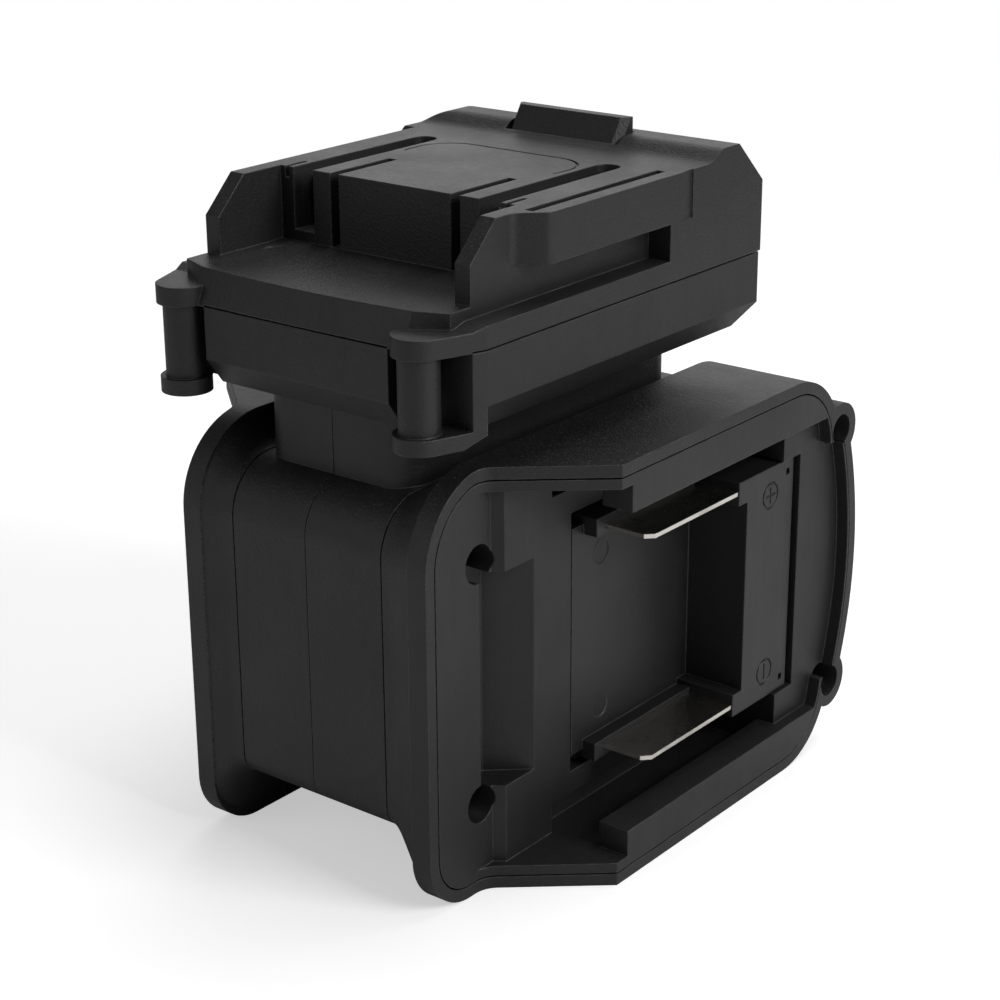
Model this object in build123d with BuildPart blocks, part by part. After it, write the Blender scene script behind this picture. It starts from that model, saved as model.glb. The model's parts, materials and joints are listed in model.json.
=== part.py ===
from build123d import *
from math import acos, atan2, cos, hypot, pi, sin
import os

os.makedirs("parts", exist_ok=True)

# Twin battery adapter: a slide plug on top, a neck and body in two halves,
# and a battery receiver on each side. X runs from receiver to receiver,
# Y runs along the slide rails and Z is up. The origin is the middle of the
# footprint at table height, on the seam of the body. Sizes come first,
# then the places that are worked out from them.

# overall sizes
reach = 53.9
receiver_height = 75.5
plug_clearance = 8.0
overrun = 6.0
seam_gap = 0.2
seam_depth = 1.0

# body and neck
body_end = 16.2
body_inset = 1.3
body_far_inset = 3.0
body_bottom = 12.6
body_height = 57.8
body_wall = 2.3
body_top_radius = 9.7
body_bottom_radius = 4.5
body_far_radius = 8.0
neck_side_step = 0.4
neck_near_step = 7.5
neck_far_step = 10.0
neck_radius = 5.0
neck_roof = 2.4
stem_side_step = 4.3
stem_near_step = 4.9
stem_far_step = 21.0
stem_wall = 2.0
stem_rim = 2.0
stem_fit = 0.1

# collars
collar_gap = 0.3
spigot_length = 3.0
spigot_wall = 1.2
flare_length = 8.7
flare_overlap = 2.4
flare_shares = (0, 0.2, 0.4, 0.6, 0.8, 1)
flange_depth = 21.1
flange_inset = 3.2
flange_far_inset = 7.9
flange_top_radius = 15.0
flange_bottom_radius = 10.0
flange_far_radius = 15.0
rim_wall = 2.1
plate_gap = 0.3
cutback_setback = 13.9
cutback_length = 14.5
cutback_round = 5.0
bulge_rise = 3.9
bulge_step = 1.6

# receiver plate
plate_seat = 1.8
near_floor = 2.1
bay_floor = 4.0
slot_inset = 4.15
lip_reach = 4.8
lip_thickness = 6.0
lip_setback = 31.4
bay_end = 15.0
pocket_setback = 13.3
pocket_length = 12.0
pocket_side = 2.2
pocket_drop = 2.6
pocket_ramp = 5.8
pocket_wall = 1.4
step_start = 3.0
step_length = 1.3
lip_slot_depth = 3.0
lip_slot_near_step = 1.2
lip_slot_side = 0.4
well_slack = 0.3
well_side = 1.5
well_end = 1.3
well_far_side = 0.35
back_hollow_wall = 1.7
back_hollow_inset = 4.9
back_hollow_depth = 14.9
panel_drop = 2.4
panel_upstand = 0.35

# receiver screws
near_screw_setback = 13.2
near_screw_inset = 12.1
far_screw_inset = 8.5
far_screw_setback = 7.1
lobe_radius = 5.1
near_bore = 3.4
near_seat_drop = 1.4
near_grip = 2.5
far_seat_rise = 5.4
far_grip = 5.6
far_boss_end = 1.6
screw_radius = 1.5
screw_head_radius = 2.5
screw_head_height = 1.7
screw_slack = 0.2
boss_radius = 4.0
rib_thickness = 2.4
drive_width = 0.9
drive_reach = 1.7
drive_depth = 0.9

# screws that hold the body halves together
body_screw_inset = 5.8
body_boss_end = 12.0
body_screw_seat = 8.0
body_screw_reach = 10.0

# terminal holder and blades
blade_inset = 8.3
blade_thickness = 0.8
holder_side = 2.0
holder_sheet = 2.6
holder_setback = 10.5
corner_notch_length = 3.2
corner_notch_width = 1.5
block_past_bay = 4.5
block_length = 15.1
block_rise = 12.2
arm_length = 2.8
arm_side = 2.3
rib_rise = 2.8
rib_side = 1.3
blade_drop = 0.2
blade_cover = 2.0
blade_setback = 5.7
blade_end = 3.8
blade_root = 1.0
blade_corner = 1.4
tail_end = 3.0
tail_width = 6.0
tail_length = 4.6
window_slack = 0.9
mark_inset = 3.3
mark_ring_radius = 2.6
mark_line = 0.45
mark_arm = 1.6
mark_depth = 0.3
key_hole_size = 1.2
key_hole_end = 1.8
key_hole_side = 0.3
key_hole_depth = 3.0
ejector_radius = 2.2
ejector_depth = 0.2
ejector_setback = 2.7
ejector_side = 4.7

# plug: lower shell, lugs and ears
plug_half_width = 32.6
plug_wall = 2.4
lower_shell_height = 13.4
bevel_height = 4.6
bevel_width = 3.4
plug_corner = 0.8
lug_inset = 7.4
lug_stand = 0.7
ear_radius = 4.3
ear_drop = 1.7
ear_thickness = 2.6
notch_step = 5.0
ear_flank_length = 2.4
column_radius = 3.35
notch_inner_side = 5.6
gusset_side = 5.2

# plug: upper shell, heights
upper_ear_thickness = 3.2
ledge_thickness = 3.9
ledge_wall = 1.9
deck_rise = 1.9
channel_height = 6.3
rail_thickness = 8.2
low_rail_drop = 2.7
roof_wall = 2.7
groove_floor_rise = 1.9
rear_bevel_drop = 5.5
hump_height = 2.0
wing_bevel_height = 6.2
wing_bevel_run = 6.3

# plug: upper shell, lengths from front to rear
deck_setback = 2.7
wing_setback = 9.7
rail_setback = 10.4
block_setback = 4.7
channel_length = 36.9
rail_root = 6.4
hump_setback = 3.9
hump_rise_length = 6.0
hump_length = 4.1
rear_bevel_length = 7.8
rear_bevel_skin = 2.2
inner_front_wall = 2.8
inner_rear_wall = 0.4

# plug: upper shell, widths
channel_depth = 4.5
wing_thickness = 3.0
deck_knee_step = 5.6
deck_corner_step = 2.2
deck_bow = 1.3
deck_foot_bow = 0.2
rail_round = 2.2
rail_ramp = 4.2
rail_fade = 0.35
rail_fade_length = 3.5
left_top_radius = 7.0
guide_inner = 12.0
guide_width = 1.9
guide_length = 14.9
groove_inner = 17.7
groove_width = 4.5
groove_length = 33.7
groove_round = 2.2
under_deck_side = 2.0
inner_side_wall = 1.5
parting_gap = 0.3
parting_depth = 1.5

# plug: small slots and marks in the top
rail_slot_side = 0.1
rail_slot_width = 1.7
rail_slot_front_step = 2.9
rail_slot_rear_step = 4.4
rail_slot_depth = 3.0
short_slot_side = 0.9
short_slot_width = 0.9
short_slot_length = 4.6
short_slot_depth = 2.0
border_side = 1.1
border_setback = 1.7
border_length = 16.2
border_round = 7.5
border_line = 0.5
border_open = 5.0
border_depth = 0.3
pin_mark_side = 4.2
pin_mark_setback = 8.6
pin_mark_radius = 2.0

# plug screws
rear_screw_side = 6.4
rear_screw_setback = 8.8
rear_boss_radius = 3.6
plug_screw_radius = 1.4
plug_head_radius = 2.6
plug_head_height = 1.8
plug_head_recess = 2.2
lug_grip = 2.5
rear_grip = 7.7

# latch
latch_half_width = 12.1
latch_gap = 0.3
latch_setback = 2.7
latch_thickness = 4.9
latch_slope = 2.8
latch_rise = 4.7
latch_lip = 0.4
latch_travel = 4.6
latch_side_bevel = 1.2
thumb_half_width = 9.0
thumb_rise = 6.2
thumb_height = 5.5
thumb_inset = 0.6
thumb_groove = 0.6
thumb_groove_count = 3
thumb_groove_pitch = 1.8
shoulder_step = 1.5
rail_width = 2.0
rail_lift = 1.5
rear_rail_step = 1.0

# latch spring
spring_length = 12.6
spring_radius = 3.2
spring_wire = 0.35
spring_turns = 5
seat_height = 1.6
seat_radius = 2.3

# plug contacts
clip_setback = 4.6
clip_length = 25.0
clip_sheet = 0.6
clip_side_gap = 0.2
clip_top_gap = 2.3
clip_mouth = 3.0
clip_pinch_gap = 1.2
clip_tab_width = 2.0
clip_tab_length = 5.6
tab_slack = 0.3

# wires
wire_radius = 1.0
wire_bend = 6.0
lead_side = 3.0
lead_drop = 7.0

# places across the body and the receivers
collar_start = body_end + collar_gap
flare_end = collar_start + flare_length
flange_back = flare_end - flare_overlap
receiver_face = flange_back + flange_depth
plate_back = flange_back + plate_seat
near_level = plate_back + near_floor
bay_level = plate_back + bay_floor
well_floor = bay_level - holder_sheet
pocket_floor = plate_back - pocket_drop
pocket_back = pocket_floor - pocket_wall
near_seat = pocket_floor - near_seat_drop
boss_split = near_seat - pocket_wall
near_screw_end = boss_split - near_grip
far_seat = plate_back + far_seat_rise
far_screw_end = plate_back - far_grip
far_boss_back = far_screw_end - far_boss_end
lip_slot_floor = bay_level - lip_slot_depth
panel_level = receiver_face - panel_drop
far_bore = lobe_radius - rim_wall
block_face = bay_level + block_rise
rib_face = bay_level + rib_rise
blade_face = block_face - blade_drop
blade_buried_face = block_face - blade_cover
blade_back = well_floor - blade_root
tail_back = plate_back - tail_length
neck_half_width = body_end - neck_side_step
stem_half_width = neck_half_width - stem_side_step
lead_x = stem_half_width - stem_wall - lead_side

# places along the body and the receivers
flange_near = flange_inset - reach
flange_far = reach - flange_far_inset
body_near = flange_near + body_inset
body_far = flange_far - body_far_inset
neck_near = body_near + neck_near_step
neck_far = body_far - neck_far_step
stem_near = neck_near + stem_near_step
stem_far = neck_far - stem_far_step
bulge_start = reach - bulge_rise
cutback_start = flange_near + cutback_setback
cutback_end = cutback_start + cutback_length
pocket_near = flange_near + pocket_setback
pocket_far = pocket_near + pocket_length
pocket_ramp_start = pocket_far - pocket_ramp
step_near = pocket_near + step_start
step_far = step_near + step_length
lip_near = flange_near + lip_setback
lip_far = flange_far - bay_end
lip_slot_near = lip_near - lip_slot_near_step
holder_near = pocket_far + holder_setback
well_near = holder_near - well_slack
block_far = lip_far + block_past_bay
block_near = block_far - block_length
well_far = block_far + well_end
arm_near = block_near - arm_length
corner_notch_near = holder_near + corner_notch_length
blade_near = holder_near + blade_setback
blade_far = block_far - blade_end
tail_far = blade_far - tail_end
tail_near = tail_far - tail_width
wire_y = (tail_near + tail_far) / 2
mark_y = (block_near + block_far) / 2
key_hole_y = block_far - key_hole_end
ejector_y = blade_near + ejector_setback
back_hollow_near = well_far + back_hollow_wall
back_hollow_far = reach - back_hollow_inset
near_screw_y = flange_near + near_screw_setback
far_screw_y = reach - far_screw_setback

# heights of the body and the receivers
rail_mid = receiver_height / 2
body_top = body_bottom + body_height
slot_half_height = rail_mid - slot_inset
lip_half_gap = slot_half_height - lip_reach
near_screw_offset = slot_half_height - near_screw_inset
far_screw_offset = slot_half_height - far_screw_inset
pocket_half_height = near_screw_offset - pocket_side
bulge_half_height = far_screw_offset - bulge_step
lip_slot_inner = lip_half_gap - lip_slot_side
blade_offset = lip_half_gap - blade_inset
holder_half_height = blade_offset + holder_side
well_half_height = holder_half_height + well_side
well_far_half_height = holder_half_height + well_far_side
corner_notch_inner = holder_half_height - corner_notch_width
arm_inner = blade_offset - arm_side
rib_inner = blade_offset - rib_side
mark_offset = blade_offset - mark_inset
key_hole_offset = blade_offset - key_hole_side
ejector_offset = rib_inner - ejector_side

# heights of the plug
plug_bottom = receiver_height + plug_clearance
shell_floor = plug_bottom + plug_wall
lower_ear_bottom = plug_bottom - ear_drop
parting_height = plug_bottom + lower_shell_height
upper_ear_top = parting_height + upper_ear_thickness
ledge_top = parting_height + ledge_thickness
under_ledge_roof = ledge_top - ledge_wall
deck_top = ledge_top + deck_rise
under_deck_roof = deck_top - plug_wall
groove_floor = deck_top + groove_floor_rise
channel_roof = ledge_top + channel_height
block_top = channel_roof + rail_thickness
low_rail_top = block_top - low_rail_drop
inner_roof = block_top - roof_wall
rear_bevel_bottom = block_top - rear_bevel_drop
lug_screw_top = parting_height + lug_grip
rear_screw_top = parting_height + rear_grip
latch_top = block_top + latch_rise
latch_edge = block_top + latch_lip
latch_foot = shell_floor + spring_length
rail_bottom = latch_foot + rail_lift
thumb_bottom = parting_height + thumb_rise
thumb_top = thumb_bottom + thumb_height
clip_top = block_top - clip_top_gap
clip_pinch_height = clip_top - clip_mouth
clip_tab_bottom = groove_floor - clip_tab_length
lead_height = clip_tab_bottom - lead_drop

# places along the plug
lug_y = ear_radius - reach
plug_front = lug_y - lug_stand
notch_back = lug_y + notch_step
ear_side_far = notch_back + ear_flank_length
deck_front = plug_front + deck_setback
deck_corner_y = deck_front + deck_corner_step
wing_front = plug_front + wing_setback
rail_front = wing_front + rail_setback
block_front = rail_front + block_setback
channel_stop = rail_front + channel_length
rail_merge = channel_stop + rail_root
hump_start = rail_merge + hump_setback
hump_full = hump_start + hump_rise_length
rear_top_edge = hump_full + hump_length
plug_rear = rear_top_edge + rear_bevel_length
inner_front = block_front + inner_front_wall
inner_rear_front = rail_merge + inner_rear_wall
inner_rear_back = plug_rear - plug_wall
rear_bevel_slope = (block_top + hump_height - rear_bevel_bottom) / rear_bevel_length
inner_bevel_top = block_top + hump_height - rear_bevel_skin
inner_bevel_start = rear_top_edge + (inner_bevel_top - inner_roof) / rear_bevel_slope
inner_bevel_end = inner_bevel_top - (inner_rear_back - rear_top_edge) * rear_bevel_slope
guide_rear = block_front + guide_length
groove_rear = block_front + groove_length
rail_slot_front = rail_front + rail_slot_front_step
rail_slot_rear = rail_merge - rail_slot_rear_step
short_slot_rear = block_front + short_slot_length
border_front = guide_rear + border_setback
border_rear = border_front + border_length
pin_mark_y = wing_front + pin_mark_setback
rear_screw_y = plug_rear - rear_screw_setback
latch_front = hump_start + latch_setback
latch_rear = latch_front + latch_thickness
latch_crest = latch_front + latch_slope
spring_y = (latch_front + latch_rear) / 2
thumb_rear = plug_rear - thumb_inset
clip_front = block_front + clip_setback
clip_rear = clip_front + clip_length
clip_tab_front = clip_rear - clip_tab_width
clip_y = (clip_tab_front + clip_rear) / 2

# places across the plug
channel_wall = plug_half_width - channel_depth
wing_inner = channel_wall - wing_thickness
deck_knee = channel_wall - deck_knee_step
rail_root_x = channel_wall - wing_thickness / 2
under_deck_half_width = channel_wall - under_deck_side
guide_outer = guide_inner + guide_width
groove_outer = groove_inner + groove_width
groove_middle = (groove_inner + groove_outer) / 2
inner_half_width = guide_inner - inner_side_wall
inner_rear_half_width = plug_half_width - plug_wall
lug_x = plug_half_width - lug_inset
notch_inner = lug_x - notch_inner_side
gusset_inner = lug_x + gusset_side
flank_run = plug_half_width - lug_x
flank_rise = ear_side_far - lug_y
flank_turn = atan2(flank_rise, flank_run) - acos(ear_radius / hypot(flank_run, flank_rise))
flank_touch_x = lug_x + ear_radius * cos(flank_turn)
flank_touch_y = lug_y + ear_radius * sin(flank_turn)
flank_slope = (plug_half_width - flank_touch_x) / (ear_side_far - flank_touch_y)
flank_notch_x = plug_half_width - (ear_side_far - notch_back) * flank_slope
rail_slot_inner = channel_wall + rail_slot_side
rail_slot_outer = rail_slot_inner + rail_slot_width
short_slot_inner = groove_outer + short_slot_side
short_slot_outer = short_slot_inner + short_slot_width
border_half_width = groove_inner - border_side
pin_mark_x = pin_mark_side - wing_inner
rear_screw_x = plug_half_width - rear_screw_side
shoulder_half_width = latch_half_width + shoulder_step
rear_rail_inner = thumb_half_width + rear_rail_step

mirror_plane = Plane.YZ
turn_plane = Plane.XY.offset(rail_mid)
sides = (-1, 1)
body_screw_places = (
    (body_near + body_screw_inset, rail_mid),
    (body_far - body_screw_inset, rail_mid),
    (0, body_bottom + body_screw_inset),
)
near_bosses = [(near_screw_y, rail_mid + side * near_screw_offset) for side in sides]
far_bosses = [(far_screw_y, rail_mid + side * far_screw_offset) for side in sides]


def block(x_from, x_to, y_from, y_to, z_from, z_to, mode=Mode.ADD):
    middle = ((x_from + x_to) / 2, (y_from + y_to) / 2, (z_from + z_to) / 2)
    with Locations(middle):
        Box(abs(x_to - x_from), abs(y_to - y_from), abs(z_to - z_from), mode=mode)


def rod_along_x(y, z, radius, x_from, x_to, mode=Mode.ADD):
    with Locations(Location(((x_from + x_to) / 2, y, z), (0, 90, 0))):
        Cylinder(radius, abs(x_to - x_from), mode=mode)


def rod_along_z(x, y, radius, z_from, z_to, mode=Mode.ADD):
    with Locations((x, y, (z_from + z_to) / 2)):
        Cylinder(radius, abs(z_to - z_from), mode=mode)


def rounded_section(
    near, far, bottom, top, near_top, near_bottom, far_round, mode=Mode.ADD
):
    # a closed outline in the Y-Z plane with its own radius at each near corner
    with BuildLine() as outline:
        Line((near + near_bottom, bottom), (far - far_round, bottom))
        RadiusArc((far - far_round, bottom), (far, bottom + far_round), -far_round)
        Line((far, bottom + far_round), (far, top - far_round))
        RadiusArc((far, top - far_round), (far - far_round, top), -far_round)
        Line((far - far_round, top), (near + near_top, top))
        RadiusArc((near + near_top, top), (near, top - near_top), -near_top)
        Line((near, top - near_top), (near, bottom + near_bottom))
        RadiusArc((near, bottom + near_bottom), (near + near_bottom, bottom), -near_bottom)
    make_face(outline.edges(), mode=mode)


def body_section(inset, mode=Mode.ADD):
    rounded_section(
        body_near + inset,
        body_far - inset,
        body_bottom + inset,
        body_top - inset,
        body_top_radius - inset,
        max(body_bottom_radius - inset, stem_fit),
        body_far_radius - inset,
        mode,
    )


def flare_section(share, inset):
    # the outline part way from the body section to the flange section
    eased = (1 - cos(pi * share)) / 2
    rounded_section(
        body_near + (flange_near - body_near) * eased + inset,
        body_far + (flange_far - body_far) * eased - inset,
        body_bottom * (1 - eased) + inset,
        body_top + (receiver_height - body_top) * eased - inset,
        body_top_radius + (flange_top_radius - body_top_radius) * eased - inset,
        body_bottom_radius + (flange_bottom_radius - body_bottom_radius) * eased - inset,
        body_far_radius + (flange_far_radius - body_far_radius) * eased - inset,
    )


def flange_section(inset):
    # the receiver outline: rounded near end, bulged far end and two screw lobes
    rounded_section(
        flange_near + inset,
        flange_far - inset,
        inset,
        receiver_height - inset,
        flange_top_radius - inset,
        flange_bottom_radius - inset,
        flange_far_radius - inset,
    )
    low = rail_mid - bulge_half_height
    high = rail_mid + bulge_half_height
    with BuildLine() as bulge:
        Polyline((bulge_start - inset, high), (0, high), (0, low), (bulge_start - inset, low))
        ThreePointArc(
            (bulge_start - inset, low), (reach - inset, rail_mid), (bulge_start - inset, high)
        )
    make_face(bulge.edges())
    for side in sides:
        with Locations((far_screw_y, rail_mid + side * far_screw_offset)):
            Circle(lobe_radius - inset)


def cut_back_near_end():
    # the near end of the flange stands back, then sweeps out to the rails
    with BuildSketch(Plane.XY.offset(-overrun)) as plan:
        with BuildLine() as edge:
            Polyline(
                (near_level, flange_near - overrun),
                (near_level, cutback_start),
                (receiver_face, cutback_end),
                (receiver_face + overrun, cutback_end),
                (receiver_face + overrun, flange_near - overrun),
                close=True,
            )
        make_face(edge.edges())
        bend = plan.vertices().group_by(Axis.X)[0].sort_by(Axis.Y)[-1]
        fillet(bend, cutback_round)
    extrude(plan.sketch, amount=receiver_height + 2 * overrun, mode=Mode.SUBTRACT)


def cross_screw(y, z, head_face, tip):
    # a screw along X: its head faces the positive side
    rod_along_x(y, z, screw_radius, tip, head_face - screw_head_height)
    rod_along_x(y, z, screw_head_radius, head_face - screw_head_height, head_face)
    with Locations((head_face - drive_depth / 2, y, z)):
        Box(drive_depth, 2 * drive_reach, drive_width, mode=Mode.SUBTRACT)
        Box(drive_depth, drive_width, 2 * drive_reach, mode=Mode.SUBTRACT)


def upright_screw(x, y, head_bottom, tip):
    # a screw along Z: its head faces down
    rod_along_z(x, y, plug_screw_radius, head_bottom + plug_head_height, tip)
    rod_along_z(x, y, plug_head_radius, head_bottom, head_bottom + plug_head_height)
    with Locations((x, y, head_bottom + drive_depth / 2)):
        Box(2 * drive_reach, drive_width, drive_depth, mode=Mode.SUBTRACT)
        Box(drive_width, 2 * drive_reach, drive_depth, mode=Mode.SUBTRACT)


# body halves with the neck

with BuildPart() as plain_half:
    with BuildSketch(Plane.YZ):
        body_section(0)
    extrude(amount=body_end)
    with BuildSketch(Plane.XY.offset(body_top - body_wall)):
        with Locations((0, (neck_near + neck_far) / 2)):
            RectangleRounded(2 * neck_half_width, neck_far - neck_near, neck_radius)
    extrude(amount=plug_bottom - body_top + body_wall)
    with BuildSketch(Plane.YZ):
        body_section(body_wall)
    extrude(amount=body_end + overrun, mode=Mode.SUBTRACT)
    with BuildSketch(Plane.XY.offset(body_top - body_wall - overrun)):
        with Locations((0, (neck_near + neck_far) / 2)):
            RectangleRounded(
                2 * (neck_half_width - body_wall),
                neck_far - neck_near - 2 * body_wall,
                neck_radius - body_wall,
            )
    extrude(amount=plug_bottom - neck_roof - body_top + body_wall + overrun, mode=Mode.SUBTRACT)
    block(0, stem_half_width, stem_near, stem_far, plug_bottom - neck_roof, shell_floor)
    block(
        0,
        stem_half_width + stem_rim,
        stem_near - stem_rim,
        stem_far + stem_rim,
        shell_floor,
        shell_floor + stem_rim,
    )
    block(
        0,
        stem_half_width - stem_wall,
        stem_near + stem_wall,
        stem_far - stem_wall,
        body_top,
        shell_floor + stem_rim + overrun,
        mode=Mode.SUBTRACT,
    )
    block(-neck_half_width, 0, -reach, reach, 0, plug_bottom + overrun, mode=Mode.SUBTRACT)
    # the seam: the outer skin stands back a little from the middle plane
    with BuildSketch(Plane.YZ):
        with Locations((0, rail_mid)):
            Rectangle(4 * reach, 4 * reach)
        body_section(seam_depth, mode=Mode.SUBTRACT)
        with Locations(((neck_near + neck_far) / 2, (body_top + plug_bottom) / 2)):
            Rectangle(
                neck_far - neck_near - 2 * seam_depth,
                plug_bottom - body_top + 2 * overrun,
                mode=Mode.SUBTRACT,
            )
    extrude(amount=seam_gap / 2, mode=Mode.SUBTRACT)

with BuildPart() as body_right_half:
    add(plain_half.part)
    for place_y, place_z in body_screw_places:
        rod_along_x(place_y, place_z, boss_radius, 0, body_boss_end)
    for place_y, place_z in body_screw_places:
        rod_along_x(
            place_y, place_z, screw_radius + screw_slack, 0, body_boss_end, mode=Mode.SUBTRACT
        )
        rod_along_x(
            place_y,
            place_z,
            screw_head_radius + screw_slack,
            body_screw_seat,
            body_boss_end,
            mode=Mode.SUBTRACT,
        )
body_right_half.part.label = "body_right_half"

with BuildPart() as body_left_half:
    mirror(plain_half.part, about=mirror_plane)
    for place_y, place_z in body_screw_places:
        rod_along_x(place_y, place_z, boss_radius, -body_boss_end, 0)
    for place_y, place_z in body_screw_places:
        rod_along_x(place_y, place_z, screw_radius, -body_screw_reach, 0, mode=Mode.SUBTRACT)
body_left_half.part.label = "body_left_half"

with BuildPart() as body_screws:
    for place_y, place_z in body_screw_places:
        cross_screw(place_y, place_z, body_screw_seat + screw_head_height, -body_screw_reach)
body_screws.part.label = "body_screws"

# collars: the flared shells that carry the receivers

with BuildPart() as right_collar:
    for share in flare_shares:
        with BuildSketch(Plane.YZ.offset(collar_start + (flare_end - collar_start) * share)):
            flare_section(share, 0)
    loft()
    with BuildSketch(Plane.YZ.offset(flange_back)):
        flange_section(0)
    extrude(amount=receiver_face - flange_back)
    for share in flare_shares:
        with BuildSketch(Plane.YZ.offset(collar_start + (flare_end - collar_start) * share)):
            flare_section(share, body_wall)
    loft(mode=Mode.SUBTRACT)
    with BuildSketch(Plane.YZ.offset(plate_back)):
        flange_section(rim_wall)
    extrude(amount=receiver_face - plate_back, mode=Mode.SUBTRACT)
    cut_back_near_end()
    # the spigot that enters the body, and its root ring inside the collar wall
    with BuildSketch(Plane.YZ.offset(collar_start - spigot_length)):
        body_section(body_wall)
        body_section(body_wall + spigot_wall, mode=Mode.SUBTRACT)
    extrude(amount=spigot_length)
    with BuildSketch(Plane.YZ.offset(collar_start)):
        body_section(body_wall / 2)
        body_section(body_wall + spigot_wall, mode=Mode.SUBTRACT)
    extrude(amount=spigot_wall)
    for place_y, place_z in near_bosses:
        rod_along_x(place_y, place_z, boss_radius, collar_start, boss_split)
        block(
            collar_start,
            boss_split,
            body_near + body_wall / 2,
            place_y,
            place_z - rib_thickness / 2,
            place_z + rib_thickness / 2,
        )
    for place_y, place_z in far_bosses:
        rod_along_x(place_y, place_z, lobe_radius, far_boss_back, plate_back)
    for place_y, place_z in near_bosses:
        rod_along_x(place_y, place_z, screw_radius, near_screw_end, boss_split, mode=Mode.SUBTRACT)
    for place_y, place_z in far_bosses:
        rod_along_x(place_y, place_z, screw_radius, far_screw_end, plate_back, mode=Mode.SUBTRACT)
right_collar.part.label = "right_collar"

with BuildPart() as left_collar:
    mirror(right_collar.part, about=mirror_plane)
left_collar.part.label = "left_collar"

# receiver plates: rails, latch pocket and holder well

with BuildPart() as right_receiver_plate:
    with BuildSketch(Plane.YZ.offset(plate_back)):
        flange_section(rim_wall + plate_gap)
    extrude(amount=receiver_face - plate_back)
    cut_back_near_end()
    # the bay between the rail walls, with a sloped step from the near level
    with BuildSketch(Plane.XY.offset(rail_mid - slot_half_height)):
        with BuildLine():
            Polyline(
                (near_level, flange_near - overrun),
                (near_level, step_near),
                (bay_level, step_far),
                (bay_level, lip_far),
                (receiver_face + overrun, lip_far),
                (receiver_face + overrun, flange_near - overrun),
                close=True,
            )
        make_face()
    extrude(amount=2 * slot_half_height, mode=Mode.SUBTRACT)
    for side in sides:
        block(
            receiver_face - lip_thickness,
            receiver_face,
            lip_near,
            lip_far,
            rail_mid + side * lip_half_gap,
            rail_mid + side * (slot_half_height + plate_gap),
        )
        # deep slot in the bay floor behind each lip
        block(
            lip_slot_floor,
            bay_level,
            lip_slot_near,
            lip_far,
            rail_mid + side * lip_slot_inner,
            rail_mid + side * slot_half_height,
            mode=Mode.SUBTRACT,
        )
    # sunken panel beyond the bay, with a thin upstand along the rim
    with BuildSketch(Plane.YZ.offset(panel_level)):
        flange_section(rim_wall + plate_gap + panel_upstand)
        with Locations(((lip_far + reach) / 2, rail_mid)):
            Rectangle(reach - lip_far, 2 * lip_half_gap, mode=Mode.INTERSECT)
    extrude(amount=panel_drop, mode=Mode.SUBTRACT)
    # well for the terminal holder, closer round the part beyond the bay
    block(
        well_floor,
        receiver_face + overrun,
        well_near,
        lip_far,
        rail_mid - well_half_height,
        rail_mid + well_half_height,
        mode=Mode.SUBTRACT,
    )
    block(
        well_floor,
        receiver_face + overrun,
        lip_far,
        well_far,
        rail_mid - well_far_half_height,
        rail_mid + well_far_half_height,
        mode=Mode.SUBTRACT,
    )
    # hollows behind the far end and round the far screws
    block(
        plate_back,
        plate_back + back_hollow_depth,
        back_hollow_near,
        back_hollow_far,
        rail_mid - bulge_half_height + boss_radius,
        rail_mid + bulge_half_height - boss_radius,
        mode=Mode.SUBTRACT,
    )
    # latch pocket with its own back, a ramp up to the bay and the near screw bores
    block(
        pocket_back,
        plate_back,
        pocket_near - pocket_wall,
        pocket_far + pocket_wall,
        rail_mid - pocket_half_height - pocket_wall,
        rail_mid + pocket_half_height + pocket_wall,
    )
    for place_y, place_z in near_bosses:
        rod_along_x(place_y, place_z, boss_radius, boss_split, plate_back)
    with BuildSketch(Plane.XY.offset(rail_mid - pocket_half_height)):
        with BuildLine():
            Polyline(
                (pocket_floor, pocket_near),
                (pocket_floor, pocket_ramp_start),
                (bay_level, pocket_far),
                (receiver_face, pocket_far),
                (receiver_face, pocket_near),
                close=True,
            )
        make_face()
    extrude(amount=2 * pocket_half_height, mode=Mode.SUBTRACT)
    for place_y, place_z in near_bosses:
        rod_along_x(place_y, place_z, near_bore, near_seat, receiver_face, mode=Mode.SUBTRACT)
        rod_along_x(
            place_y,
            place_z,
            screw_radius + screw_slack,
            boss_split,
            near_seat,
            mode=Mode.SUBTRACT,
        )
    for place_y, place_z in far_bosses:
        rod_along_x(place_y, place_z, far_bore, far_seat, receiver_face, mode=Mode.SUBTRACT)
        rod_along_x(
            place_y,
            place_z,
            screw_radius + screw_slack,
            plate_back,
            far_seat,
            mode=Mode.SUBTRACT,
        )
    # windows for the blades
    for side in sides:
        block(
            plate_back,
            well_floor,
            blade_near - window_slack,
            blade_far + window_slack,
            rail_mid + side * blade_offset - window_slack,
            rail_mid + side * blade_offset + window_slack,
            mode=Mode.SUBTRACT,
        )
right_receiver_plate.part.label = "right_receiver_plate"

with BuildPart() as left_receiver_plate:
    mirror(right_receiver_plate.part, about=mirror_plane)
left_receiver_plate.part.label = "left_receiver_plate"

with BuildPart() as right_receiver_screws:
    for place_y, place_z in near_bosses:
        cross_screw(place_y, place_z, near_seat + screw_head_height, near_screw_end)
    for place_y, place_z in far_bosses:
        cross_screw(place_y, place_z, far_seat + screw_head_height, far_screw_end)
right_receiver_screws.part.label = "right_receiver_screws"

with BuildPart() as left_receiver_screws:
    mirror(right_receiver_screws.part, about=mirror_plane)
left_receiver_screws.part.label = "left_receiver_screws"

# terminal holders and blades

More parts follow.
